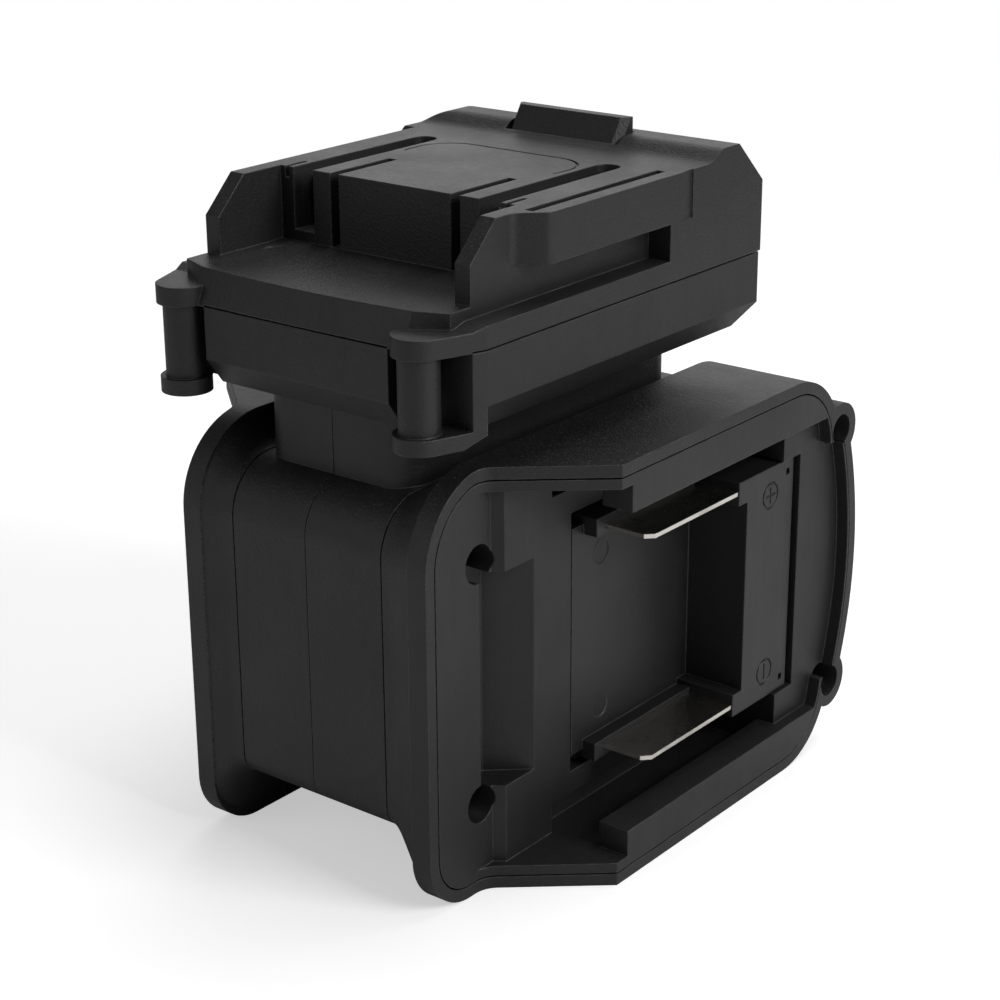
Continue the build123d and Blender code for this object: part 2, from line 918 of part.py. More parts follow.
with BuildPart() as right_terminal_holder:
    block(
        well_floor,
        bay_level,
        holder_near,
        block_far,
        rail_mid - holder_half_height,
        rail_mid + holder_half_height,
    )
    block(
        bay_level,
        block_face,
        block_near,
        block_far,
        rail_mid - holder_half_height,
        rail_mid + holder_half_height,
    )
    for side in sides:
        block(
            bay_level,
            block_face,
            arm_near,
            block_near,
            rail_mid + side * arm_inner,
            rail_mid + side * holder_half_height,
        )
        block(
            bay_level,
            rib_face,
            corner_notch_near,
            arm_near,
            rail_mid + side * rib_inner,
            rail_mid + side * holder_half_height,
        )
        block(
            well_floor,
            bay_level,
            holder_near,
            corner_notch_near,
            rail_mid + side * corner_notch_inner,
            rail_mid + side * holder_half_height,
            mode=Mode.SUBTRACT,
        )
        # blade slot: shallow under the block face, open along the rib
        block(
            well_floor,
            rib_face,
            blade_near,
            arm_near,
            rail_mid + side * blade_offset - blade_thickness / 2,
            rail_mid + side * blade_offset + blade_thickness / 2,
            mode=Mode.SUBTRACT,
        )
        block(
            well_floor,
            blade_buried_face,
            arm_near,
            blade_far,
            rail_mid + side * blade_offset - blade_thickness / 2,
            rail_mid + side * blade_offset + blade_thickness / 2,
            mode=Mode.SUBTRACT,
        )
        # mould marks and small square keys
        rod_along_x(
            ejector_y,
            rail_mid + side * ejector_offset,
            ejector_radius,
            bay_level - ejector_depth,
            bay_level,
            mode=Mode.SUBTRACT,
        )
        block(
            block_face - key_hole_depth,
            block_face,
            key_hole_y - key_hole_size / 2,
            key_hole_y + key_hole_size / 2,
            rail_mid + side * key_hole_offset - key_hole_size / 2,
            rail_mid + side * key_hole_offset + key_hole_size / 2,
            mode=Mode.SUBTRACT,
        )
    # polarity marks: a ring round a plus above and round a minus below
    with BuildSketch(Plane.YZ.offset(block_face - mark_depth)):
        for side in sides:
            with Locations((mark_y, rail_mid + side * mark_offset)):
                Circle(mark_ring_radius)
                Circle(mark_ring_radius - mark_line, mode=Mode.SUBTRACT)
                Rectangle(mark_line, 2 * mark_arm)
        with Locations((mark_y, rail_mid + mark_offset)):
            Rectangle(2 * mark_arm, mark_line)
    extrude(amount=mark_depth, mode=Mode.SUBTRACT)
right_terminal_holder.part.label = "right_terminal_holder"

with BuildPart() as left_terminal_holder:
    mirrored_holder = mirror(
        right_terminal_holder.part, about=mirror_plane, mode=Mode.PRIVATE
    )
    mirror(mirrored_holder, about=turn_plane)
left_terminal_holder.part.label = "left_terminal_holder"

with BuildPart() as right_positive_blade:
    with BuildSketch(Plane.XY.offset(rail_mid + blade_offset - blade_thickness / 2)) as blade:
        with BuildLine():
            Polyline(
                (blade_back, blade_near),
                (blade_face, blade_near),
                (blade_face, arm_near),
                (blade_buried_face, arm_near),
                (blade_buried_face, blade_far),
                (blade_back, blade_far),
                (blade_back, tail_far),
                (tail_back, tail_far),
                (tail_back, tail_near),
                (blade_back, tail_near),
                close=True,
            )
        make_face()
        chamfer(
            blade.vertices().group_by(Axis.X)[-1].sort_by(Axis.Y)[0], blade_corner
        )
    extrude(amount=blade_thickness)
right_positive_blade.part.label = "right_positive_blade"

with BuildPart() as right_negative_blade:
    mirror(right_positive_blade.part, about=turn_plane)
right_negative_blade.part.label = "right_negative_blade"

with BuildPart() as left_negative_blade:
    mirror(right_positive_blade.part, about=mirror_plane)
left_negative_blade.part.label = "left_negative_blade"

with BuildPart() as left_positive_blade:
    mirror(right_negative_blade.part, about=mirror_plane)
left_positive_blade.part.label = "left_positive_blade"

# plug: lower shell


def ear_plate(side, height, thickness):
    # the flat ear round a lug, with a flank that runs out to the side wall
    with BuildSketch(Plane.XY.offset(height)) as ear:
        with Locations((side * lug_x, lug_y)):
            Circle(ear_radius)
        with BuildLine() as flank:
            Polyline(
                (side * lug_x, lug_y),
                (side * flank_touch_x, flank_touch_y),
                (side * plug_half_width, ear_side_far),
                (side * lug_x, ear_side_far),
                close=True,
            )
        make_face(flank.edges())
    extrude(ear.sketch, amount=thickness)


with BuildPart() as plug_lower_shell:
    block(
        -plug_half_width,
        plug_half_width,
        plug_front,
        plug_rear,
        plug_bottom,
        parting_height,
    )
    chamfer(
        plug_lower_shell.faces().sort_by(Axis.Z)[0].edges(), bevel_height, bevel_width
    )
    fillet(plug_lower_shell.edges().filter_by(Axis.Z), plug_corner)
    block(
        -plug_half_width + plug_wall,
        plug_half_width - plug_wall,
        notch_back + plug_wall,
        plug_rear - plug_wall,
        plug_bottom + bevel_height,
        parting_height,
        mode=Mode.SUBTRACT,
    )
    block(
        -notch_inner + plug_wall,
        notch_inner - plug_wall,
        plug_front + plug_wall,
        plug_rear - plug_wall,
        plug_bottom + bevel_height,
        parting_height,
        mode=Mode.SUBTRACT,
    )
    block(
        -plug_half_width + plug_wall + bevel_width,
        plug_half_width - plug_wall - bevel_width,
        notch_back + plug_wall,
        plug_rear - plug_wall - bevel_width,
        shell_floor,
        parting_height,
        mode=Mode.SUBTRACT,
    )
    for side in sides:
        # the corner notch that leaves the lug column free, and the trimmed flank
        block(
            side * notch_inner,
            side * (plug_half_width + overrun),
            plug_front - overrun,
            notch_back,
            plug_bottom - overrun,
            parting_height + overrun,
            mode=Mode.SUBTRACT,
        )
        with BuildSketch(Plane.XY.offset(plug_bottom)):
            with BuildLine():
                Polyline(
                    (side * flank_touch_x, flank_touch_y),
                    (side * plug_half_width, ear_side_far),
                    (side * (plug_half_width + overrun), ear_side_far),
                    (side * (plug_half_width + overrun), flank_touch_y),
                    close=True,
                )
            make_face()
        extrude(amount=lower_shell_height, mode=Mode.SUBTRACT)
    for side in sides:
        ear_plate(side, lower_ear_bottom, ear_thickness)
        with BuildSketch(Plane.XY.offset(lower_ear_bottom)):
            with BuildLine():
                Polyline(
                    (side * gusset_inner, notch_back),
                    (side * flank_notch_x, notch_back),
                    (side * plug_half_width, ear_side_far),
                    (side * gusset_inner, ear_side_far),
                    close=True,
                )
            make_face()
        extrude(amount=ear_drop + bevel_height + plug_wall)
    # the underside of each ear rises to the bottom of the plug
    with BuildSketch(Plane.YZ):
        with BuildLine():
            Polyline(
                (lug_y + column_radius, lower_ear_bottom),
                (ear_side_far, plug_bottom),
                (ear_side_far, lower_ear_bottom),
                close=True,
            )
        make_face()
    extrude(amount=plug_half_width, both=True, mode=Mode.SUBTRACT)
    for side in sides:
        rod_along_z(side * lug_x, lug_y, column_radius, lower_ear_bottom, parting_height)
        rod_along_z(
            side * lug_x,
            lug_y,
            plug_screw_radius + screw_slack,
            lower_ear_bottom,
            parting_height,
            mode=Mode.SUBTRACT,
        )
        rod_along_z(
            side * lug_x,
            lug_y,
            plug_head_radius + screw_slack,
            lower_ear_bottom,
            lower_ear_bottom + plug_head_recess,
            mode=Mode.SUBTRACT,
        )
        rod_along_z(
            side * rear_screw_x, rear_screw_y, rear_boss_radius, shell_floor, parting_height
        )
        rod_along_z(
            side * rear_screw_x,
            rear_screw_y,
            plug_screw_radius + screw_slack,
            plug_bottom,
            parting_height,
            mode=Mode.SUBTRACT,
        )
        rod_along_z(
            side * rear_screw_x,
            rear_screw_y,
            plug_head_radius + screw_slack,
            plug_bottom,
            plug_bottom + plug_head_recess,
            mode=Mode.SUBTRACT,
        )
    # opening for the stem of the neck
    block(
        -stem_half_width - stem_fit,
        stem_half_width + stem_fit,
        stem_near - stem_fit,
        stem_far + stem_fit,
        plug_bottom - overrun,
        shell_floor + overrun,
        mode=Mode.SUBTRACT,
    )
    # seat for the latch spring
    rod_along_z(0, spring_y, seat_radius, shell_floor, shell_floor + seat_height)
plug_lower_shell.part.label = "plug_lower_shell"

# plug: upper shell with the slide rails


def hump_edge(height_gain):
    # side view of the rear body: level top, a soft rise, then the rear bevel
    with BuildLine() as side_view:
        Line((channel_stop, parting_height), (channel_stop, block_top))
        Line((channel_stop, block_top), (hump_start, block_top))
        Spline(
            (hump_start, block_top),
            (hump_full, block_top + height_gain),
            tangents=((1, 0), (1, 0)),
        )
        Polyline(
            (hump_full, block_top + height_gain),
            (rear_top_edge, block_top + height_gain),
            (plug_rear, rear_bevel_bottom),
            (plug_rear, parting_height),
            (channel_stop, parting_height),
        )
    return side_view.edges()


with BuildPart() as plug_upper_shell:
    # ledge plate on the parting line, and the ears over the lugs
    block(
        -plug_half_width, plug_half_width, ear_side_far, plug_rear, parting_height, ledge_top
    )
    for side in sides:
        ear_plate(side, parting_height, ledge_thickness)
    with BuildSketch(Plane.YZ):
        with BuildLine():
            Polyline(
                (-reach, upper_ear_top),
                (notch_back, upper_ear_top),
                (ear_side_far, ledge_top),
                (-reach, ledge_top),
                close=True,
            )
        make_face()
    extrude(amount=plug_half_width, both=True, mode=Mode.SUBTRACT)
    # front plate and deck in one: the bowed front leans back towards the deck
    front_outlines = []
    for height, front, bow in (
        (parting_height, plug_front, deck_foot_bow),
        (deck_top, deck_front, deck_bow),
    ):
        with BuildSketch(Plane.XY.offset(height), mode=Mode.PRIVATE) as outline:
            with BuildLine():
                Polyline(
                    (-deck_knee, front),
                    (-channel_wall, deck_corner_y),
                    (-channel_wall, channel_stop),
                    (channel_wall, channel_stop),
                    (channel_wall, deck_corner_y),
                    (deck_knee, front),
                )
                ThreePointArc((deck_knee, front), (0, front - bow), (-deck_knee, front))
            make_face()
        front_outlines.append(outline.sketch)
    loft(front_outlines, ruled=True)
    # middle block, wings and rear body
    block(-channel_wall, channel_wall, block_front, channel_stop, ledge_top, block_top)
    for side in sides:
        with BuildSketch(Plane.YZ.offset(side * (wing_inner + channel_wall) / 2)):
            with BuildLine():
                Polyline(
                    (block_front, deck_top),
                    (wing_front, deck_top),
                    (wing_front, block_top - wing_bevel_height),
                    (wing_front + wing_bevel_run, block_top),
                    (block_front, block_top),
                    close=True,
                )
            make_face()
        extrude(amount=(channel_wall - wing_inner) / 2, both=True)
    with BuildSketch(Plane.YZ):
        make_face(hump_edge(hump_height))
    extrude(amount=plug_half_width, both=True)
    # rails: the right one is flush with the top, the left one sits lower, and
    # each swells out from the wing in a soft double bend
    for side, rail_top in ((1, block_top), (-1, low_rail_top)):
        with BuildSketch(Plane.XY.offset(channel_roof)) as rail:
            with BuildLine():
                Polyline(
                    (side * rail_root_x, rail_front - rail_round),
                    (side * channel_wall, rail_front - rail_round),
                    (side * channel_wall, rail_front),
                    (side * plug_half_width, rail_front + rail_ramp),
                    (side * plug_half_width, rail_merge),
                    (side * rail_root_x, rail_merge),
                    close=True,
                )
            make_face()
            bends = rail.vertices().filter_by(
                lambda corner: rail_front - screw_slack < corner.Y < rail_merge - screw_slack
            )
            fillet(bends, rail_round)
        extrude(amount=rail_top - channel_roof)
    # left side above the low rail, up to the rear body
    block(
        -plug_half_width - overrun,
        -channel_wall,
        rail_front - overrun,
        rail_merge,
        low_rail_top,
        block_top + overrun,
        mode=Mode.SUBTRACT,
    )
    # channels under the rails
    for side in sides:
        block(
            side * channel_wall,
            side * (plug_half_width + overrun),
            rail_front - overrun,
            channel_stop,
            ledge_top,
            channel_roof,
            mode=Mode.SUBTRACT,
        )
    for side in sides:
        # the end of each rail fades in a little before the rear body
        with BuildSketch(Plane.XY.offset(channel_roof)):
            with BuildLine():
                Polyline(
                    (side * plug_half_width, rail_merge - rail_fade_length),
                    (side * (plug_half_width - rail_fade), rail_merge),
                    (side * (plug_half_width + overrun), rail_merge),
                    (side * (plug_half_width + overrun), rail_merge - rail_fade_length),
                    close=True,
                )
            make_face()
        extrude(amount=rail_thickness, mode=Mode.SUBTRACT)
    # large round on the top left edge of the rear body
    hump_top = block_top + hump_height
    left_round_x = left_top_radius - plug_half_width
    left_round_z = hump_top - left_top_radius
    left_round_step = left_top_radius * cos(pi / 4)
    with BuildSketch(Plane.XZ.offset(-rail_merge)):
        with BuildLine():
            ThreePointArc(
                (-plug_half_width, left_round_z),
                (left_round_x - left_round_step, left_round_z + left_round_step),
                (left_round_x, hump_top),
            )
            Polyline(
                (left_round_x, hump_top),
                (left_round_x, hump_top + overrun),
                (-plug_half_width - overrun, hump_top + overrun),
                (-plug_half_width - overrun, left_round_z),
                (-plug_half_width, left_round_z),
            )
        make_face()
    extrude(amount=rail_merge - plug_rear, mode=Mode.SUBTRACT)
    # hollows: under the deck, under the middle block and in the rear body
    block(
        -under_deck_half_width,
        under_deck_half_width,
        notch_back + plug_wall,
        inner_rear_front,
        parting_height,
        under_deck_roof,
        mode=Mode.SUBTRACT,
    )
    block(
        -inner_rear_half_width,
        inner_rear_half_width,
        notch_back + plug_wall,
        inner_rear_front,
        parting_height,
        under_ledge_roof,
        mode=Mode.SUBTRACT,
    )
    block(
        -inner_half_width,
        inner_half_width,
        inner_front,
        inner_rear_front,
        parting_height,
        inner_roof,
        mode=Mode.SUBTRACT,
    )
    with BuildSketch(Plane.YZ):
        with BuildLine():
            Polyline(
                (inner_rear_front, parting_height),
                (inner_rear_front, inner_roof),
                (inner_bevel_start, inner_roof),
                (inner_rear_back, inner_bevel_end),
                (inner_rear_back, parting_height),
                close=True,
            )
        make_face()
    extrude(amount=inner_rear_half_width, both=True, mode=Mode.SUBTRACT)
    for side in sides:
        # narrow guide slots and the wide contact grooves
        block(
            side * guide_inner,
            side * guide_outer,
            block_front,
            guide_rear,
            deck_top,
            block_top,
            mode=Mode.SUBTRACT,
        )
        with BuildSketch(Plane.XY.offset(groove_floor)) as groove:
            with Locations((side * groove_middle, (block_front + groove_rear) / 2)):
                Rectangle(groove_width, groove_length)
            fillet(groove.vertices().group_by(Axis.Y)[-1], groove_round)
        extrude(amount=block_top - groove_floor, mode=Mode.SUBTRACT)
        block(
            side * short_slot_inner,
            side * short_slot_outer,
            block_front,
            short_slot_rear,
            block_top - short_slot_depth,
            block_top,
            mode=Mode.SUBTRACT,
        )
        # passage for the contact tab
        block(
            side * groove_middle - clip_sheet / 2 - tab_slack,
            side * groove_middle + clip_sheet / 2 + tab_slack,
            clip_tab_front - tab_slack,
            clip_rear + tab_slack,
            parting_height,
            groove_floor,
            mode=Mode.SUBTRACT,
        )
    block(
        rail_slot_inner,
        rail_slot_outer,
        rail_slot_front,
        rail_slot_rear,
        block_top - rail_slot_depth,
        block_top,
        mode=Mode.SUBTRACT,
    )
    # plain border line on the block and a mould mark on the deck
    with BuildSketch(Plane.XY.offset(block_top - border_depth)):
        with Locations((0, (border_front + border_rear) / 2)):
            RectangleRounded(
                2 * border_half_width, border_rear - border_front, border_round - border_line
            )
            RectangleRounded(
                2 * (border_half_width - border_line),
                border_rear - border_front - 2 * border_line,
                border_round - 2 * border_line,
                mode=Mode.SUBTRACT,
            )
        with Locations((0, border_front)):
            Rectangle(2 * border_half_width, 2 * border_open, mode=Mode.SUBTRACT)
    extrude(amount=border_depth, mode=Mode.SUBTRACT)
    rod_along_z(
        pin_mark_x,
        pin_mark_y,
        pin_mark_radius,
        deck_top - ejector_depth,
        deck_top,
        mode=Mode.SUBTRACT,
    )
    # opening, guides and thumb window of the latch
    block(
        -latch_half_width - latch_gap,
        latch_half_width + latch_gap,
        latch_front - latch_gap,
        latch_rear + latch_gap,
        inner_roof,
        block_top + hump_height,
        mode=Mode.SUBTRACT,
    )
    block(
        -shoulder_half_width - latch_gap - rail_width,
        shoulder_half_width + latch_gap + rail_width,
        latch_front - latch_gap - rail_width,
        latch_front - latch_gap,
        rail_bottom,
        inner_roof,
    )
    for side in sides:
        block(
            side * (shoulder_half_width + latch_gap),
            side * (shoulder_half_width + latch_gap + rail_width),
            latch_front - latch_gap,
            latch_rear + latch_gap + rail_width,
            rail_bottom,
            inner_roof,
        )
        block(
            side * rear_rail_inner,
            side * (shoulder_half_width + latch_gap),
            latch_rear + latch_gap,
            latch_rear + latch_gap + rail_width,
            rail_bottom,
            inner_roof,
        )
    block(
        -thumb_half_width - latch_gap,
        thumb_half_width + latch_gap,
        plug_rear - plug_wall,
        plug_rear + overrun,
        thumb_bottom - latch_travel - latch_gap,
        thumb_top + latch_gap,
        mode=Mode.SUBTRACT,
    )
    # screw bosses and screw holes
    for side in sides:
        rod_along_z(
            side * rear_screw_x, rear_screw_y, rear_boss_radius, parting_height, inner_roof
        )
        rod_along_z(
            side * rear_screw_x,
            rear_screw_y,
            plug_screw_radius,
            parting_height,
            rear_screw_top,
            mode=Mode.SUBTRACT,
        )
        rod_along_z(
            side * lug_x,
            lug_y,
            plug_screw_radius,
            parting_height,
            lug_screw_top,
            mode=Mode.SUBTRACT,
        )
    # a fine step in the outer skin shows the parting line
    with BuildSketch(Plane.XY.offset(parting_height)):
        with Locations((0, (notch_back + plug_rear + overrun) / 2)):
            Rectangle(4 * plug_half_width, plug_rear + overrun - notch_back)
        with Locations((0, (notch_back + plug_rear - parting_depth) / 2)):
            Rectangle(
                2 * (plug_half_width - parting_depth),
                plug_rear - parting_depth - notch_back,
                mode=Mode.SUBTRACT,
            )
        with Locations((0, plug_front)):
            Rectangle(2 * notch_inner, 2 * parting_depth)
    extrude(amount=parting_gap, mode=Mode.SUBTRACT)
plug_upper_shell.part.label = "plug_upper_shell"

with BuildPart() as plug_case_screws:
    for side in sides:
        upright_screw(
            side * lug_x,
            lug_y,
            lower_ear_bottom + plug_head_recess - plug_head_height,
            lug_screw_top,
        )
        upright_screw(
            side * rear_screw_x,
            rear_screw_y,
            plug_bottom + plug_head_recess - plug_head_height,
            rear_screw_top,
        )
plug_case_screws.part.label = "plug_case_screws"

# latch and its spring

with BuildPart() as latch_hook:
    with BuildSketch(Plane.YZ):
        with BuildLine():
            Polyline(
                (latch_front, latch_foot),
                (latch_front, latch_edge),
                (latch_crest, latch_top),
                (latch_rear, latch_top),
                (latch_rear, latch_foot),
                close=True,
            )
        make_face()
    extrude(amount=latch_half_width, both=True)
    crest_ends = latch_hook.edges().filter_by(
        lambda edge: abs(abs(edge.center().X) - latch_half_width) < screw_slack
        and edge.center().Z > latch_edge
        and edge.center().Y < latch_crest
    )
    chamfer(crest_ends, latch_side_bevel)
    block(
        -shoulder_half_width,
        shoulder_half_width,
        latch_front,
        latch_rear,
        latch_foot,
        inner_roof - latch_gap,
    )
    block(
        -thumb_half_width, thumb_half_width, latch_rear, thumb_rear, thumb_bottom, thumb_top
    )
    for step in range(thumb_groove_count):
        groove_z = (thumb_bottom + thumb_top) / 2 + (step - 1) * thumb_groove_pitch
        block(
            -thumb_half_width,
            thumb_half_width,
            thumb_rear - thumb_groove,
            thumb_rear,
            groove_z - thumb_groove / 2,
            groove_z + thumb_groove / 2,
            mode=Mode.SUBTRACT,
        )
latch_hook.part.label = "latch_hook"

with BuildPart() as latch_spring:
    spring_height = latch_foot - shell_floor - 2 * spring_wire
    with BuildLine() as coil:
        Helix(
            pitch=spring_height / spring_turns,
            height=spring_height,
            radius=spring_radius,
            center=(0, spring_y, shell_floor + spring_wire),
        )
    with BuildSketch(Plane(origin=coil.line @ 0, z_dir=coil.line % 0)):
        Circle(spring_wire)
    sweep(path=coil.line, is_frenet=True)
latch_spring.part.label = "latch_spring"

# plug contacts and wires

with BuildPart() as plug_positive_clip:
    leaf_foot = (groove_outer - groove_inner) / 2 - clip_side_gap
    leaf_pinch = clip_pinch_gap / 2 + clip_sheet
    with BuildSketch(Plane.XZ.offset(-clip_rear)):
        for side in sides:
            with BuildLine():
                Polyline(
                    (groove_middle + side * leaf_foot, groove_floor),
                    (groove_middle + side * leaf_pinch, clip_pinch_height),
                    (groove_middle + side * leaf_foot, clip_top),
                    (groove_middle + side * (leaf_foot - clip_sheet), clip_top),
                    (groove_middle + side * (leaf_pinch - clip_sheet), clip_pinch_height),
                    (groove_middle + side * (leaf_foot - clip_sheet), groove_floor),
                    close=True,
                )
            make_face()
        with Locations((groove_middle, groove_floor + clip_sheet / 2)):
            Rectangle(2 * leaf_foot, clip_sheet)
    extrude(amount=clip_rear - clip_front)
    block(
        groove_middle - clip_sheet / 2,
        groove_middle + clip_sheet / 2,
        clip_tab_front,
        clip_rear,
        clip_tab_bottom,
        groove_floor,
    )
plug_positive_clip.part.label = "plug_positive_clip"

with BuildPart() as plug_negative_clip:
    mirror(plug_positive_clip.part, about=mirror_plane)
plug_negative_clip.part.label = "plug_negative_clip"

with BuildPart() as positive_lead:
    with BuildLine() as run:
        FilletPolyline(
            (tail_back, wire_y, rail_mid + blade_offset),
            (lead_x, wire_y, rail_mid + blade_offset),
            (lead_x, clip_y, rail_mid + blade_offset),
            (lead_x, clip_y, lead_height),
            (groove_middle, clip_y, lead_height),
            (groove_middle, clip_y, clip_tab_bottom),
            radius=wire_bend,
        )
    with BuildSketch(Plane(origin=run.line @ 0, z_dir=run.line % 0)):
        Circle(wire_radius)
    sweep(path=run.line)
positive_lead.part.label = "positive_lead"

with BuildPart() as negative_lead:
    mirror(positive_lead.part, about=mirror_plane)
negative_lead.part.label = "negative_lead"

with BuildPart() as series_link:
    rod_along_x(wire_y, rail_mid - blade_offset, wire_radius, -tail_back, tail_back)
series_link.part.label = "series_link"

export_step(body_left_half.part, "parts/body_left_half.step")
export_step(body_right_half.part, "parts/body_right_half.step")
export_step(body_screws.part, "parts/body_screws.step")
export_step(left_collar.part, "parts/left_collar.step")
export_step(right_collar.part, "parts/right_collar.step")
export_step(left_receiver_plate.part, "parts/left_receiver_plate.step")
export_step(right_receiver_plate.part, "parts/right_receiver_plate.step")
export_step(left_receiver_screws.part, "parts/left_receiver_screws.step")
export_step(right_receiver_screws.part, "parts/right_receiver_screws.step")
export_step(left_terminal_holder.part, "parts/left_terminal_holder.step")
export_step(right_terminal_holder.part, "parts/right_terminal_holder.step")
export_step(left_positive_blade.part, "parts/left_positive_blade.step")
export_step(left_negative_blade.part, "parts/left_negative_blade.step")
export_step(right_positive_blade.part, "parts/right_positive_blade.step")
export_step(right_negative_blade.part, "parts/right_negative_blade.step")
export_step(plug_lower_shell.part, "parts/plug_lower_shell.step")
export_step(plug_upper_shell.part, "parts/plug_upper_shell.step")
export_step(plug_case_screws.part, "parts/plug_case_screws.step")
export_step(latch_hook.part, "parts/latch_hook.step")
export_step(latch_spring.part, "parts/latch_spring.step")
export_step(plug_positive_clip.part, "parts/plug_positive_clip.step")
export_step(plug_negative_clip.part, "parts/plug_negative_clip.step")
export_step(positive_lead.part, "parts/positive_lead.step")
export_step(negative_lead.part, "parts/negative_lead.step")
export_step(series_link.part, "parts/series_link.step")
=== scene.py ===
import json
import math

import bmesh
import bpy
from mathutils import Matrix, Vector


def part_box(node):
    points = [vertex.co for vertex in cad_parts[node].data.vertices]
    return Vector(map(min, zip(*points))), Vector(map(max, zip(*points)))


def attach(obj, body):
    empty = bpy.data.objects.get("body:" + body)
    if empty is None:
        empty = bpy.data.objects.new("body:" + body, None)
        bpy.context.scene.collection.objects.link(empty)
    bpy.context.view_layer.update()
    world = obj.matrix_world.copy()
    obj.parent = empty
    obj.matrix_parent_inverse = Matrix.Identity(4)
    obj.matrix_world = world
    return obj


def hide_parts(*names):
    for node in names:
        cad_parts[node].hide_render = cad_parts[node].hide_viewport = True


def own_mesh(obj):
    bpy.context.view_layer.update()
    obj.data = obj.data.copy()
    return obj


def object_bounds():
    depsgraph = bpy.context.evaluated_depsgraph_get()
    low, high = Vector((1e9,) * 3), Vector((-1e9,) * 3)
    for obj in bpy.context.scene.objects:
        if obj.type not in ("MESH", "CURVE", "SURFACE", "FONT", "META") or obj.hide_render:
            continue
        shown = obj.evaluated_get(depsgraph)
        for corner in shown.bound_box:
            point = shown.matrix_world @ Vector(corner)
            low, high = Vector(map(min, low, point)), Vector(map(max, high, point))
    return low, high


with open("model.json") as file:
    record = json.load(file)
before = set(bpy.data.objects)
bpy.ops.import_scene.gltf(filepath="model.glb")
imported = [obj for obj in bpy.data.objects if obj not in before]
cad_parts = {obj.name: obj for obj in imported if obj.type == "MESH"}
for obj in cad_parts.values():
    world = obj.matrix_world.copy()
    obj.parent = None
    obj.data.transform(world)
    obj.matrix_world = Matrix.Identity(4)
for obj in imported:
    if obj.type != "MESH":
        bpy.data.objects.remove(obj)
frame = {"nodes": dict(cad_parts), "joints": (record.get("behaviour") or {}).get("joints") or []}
CAD_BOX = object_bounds()

bl_info = {
    "name": "Battery Adapter Looks",
    "version": (1, 0, 0),
    "blender": (4, 5, 0),
    "location": "3D View > Sidebar > Adapter",
    "description": "Finishes, fasteners, latch spring and studio of a twin battery adapter",
    "category": "Object",
}

MILLIMETRE = 0.001
HOUSING = "housing"

# samples of the node that rounds edges
BEVEL_SAMPLES = 6
# points closer than this are one point, and a point this near a screw's end lies on it
SAME_POINT = 0.001 * MILLIMETRE
NEAR_END = 0.05 * MILLIMETRE

# moulded plastic: sizes of its marks
PIT_SPACING = 1.6
CLOUD_SIZE = 14 * MILLIMETRE
FLOW_SIZE = 1.3 * MILLIMETRE
FLOW_STRETCH = (1.0, 1.0, 0.12)
SCUFF_SIZE = 0.5 * MILLIMETRE
SCUFF_STRETCH = (0.3, 0.08, 1.0)
# moulded plastic: where each noise starts and ends to show; grains on faces that look up get painted
# glints, and the edges get wear and a painted highlight
PAINTED_GLINT_GRAINS = (0.57, 0.68)
GLINT_FACING_UP = (0.2, 0.9, 0.12, 1.0)
RUBBED_AND_LIT_EDGES = (0.02, 0.35)
EDGE_PATCHES = (0.35, 0.65, 0.25, 1.0)
SCUFF_MARKS = (0.66, 0.80)
# moulded plastic: how much each of them adds to the height, the colour of wear and painted highlight,
# and the roughness
GRAIN_HEIGHT = 0.7
PIT_HEIGHT = 0.5
GLINT_HIGHLIGHT = 0.34
EDGE_WEAR_AND_HIGHLIGHT = 0.75
SCUFF_WEAR = 0.05
CLOUD_ROUGHNESS = 0.22
FLOW_ROUGHNESS = 0.10
GLINT_ROUGHNESS = 0.08

# plated metal
LINE_SIZE = 0.12 * MILLIMETRE
LINE_DEPTH = 0.004 * MILLIMETRE
STAIN_SIZE = 6 * MILLIMETRE
STAIN_MARKS = (0.4, 0.75)
PAINTED_EDGE_HIGHLIGHT = (0.0, 0.3)
DULL_SHARE = 0.62
LINE_ROUGHNESS = 0.16
STAIN_ROUGHNESS = 0.20
EVEN = (1.0, 1.0, 1.0)

# plated metal: stretch of the drawn lines, roughness and edge radius of each piece
BLADE_FINISH = ((1.0, 0.05, 1.0), 0.24, 0.15 * MILLIMETRE)
CLIP_FINISH = ((1.0, 1.0, 0.05), 0.30, 0.10 * MILLIMETRE)
SCREW_FINISH = (EVEN, 0.34, 0.12 * MILLIMETRE)
COIL_FINISH = (EVEN, 0.28, 0.05 * MILLIMETRE)

# screws and spring: steps in one turn of the thread, sides of the swept wires,
# and how many turns of the shank stay without thread
THREAD_STEPS = 20
THREAD_SIDES = 6
COIL_SIDES = 12
PLAIN_TURNS = 1.5

# wire insulation
RING_SIZE = 0.8 * MILLIMETRE
RING_STRETCH = (1.0, 1.0, 0.3)
RING_DEPTH = 0.02 * MILLIMETRE
RING_SHADE = 0.7
RING_ROUGHNESS = 0.2
WIRE_ROUGHNESS = 0.3

# noise lies evenly about this value
NOISE_MIDDLE = 0.5

# studio: half side of the floor, white as a colour and as a strength,
# and each lamp's setting, place and width
FLOOR_REACH = 4.0
WHITE = (1, 1, 1, 1)
FULL_WHITE = 1.0
LAMPS = (
    ("key", (0.65, 0.05, 0.45), 0.35),
    ("fill", (-0.35, -0.75, 0.40), 0.6),
    ("top", (0.05, 0.25, 0.85), 0.5),
    ("back", (-0.45, 0.65, 0.45), 0.6),
)

# camera
SENSOR_WIDTH = 36.0
NEAREST = 0.01

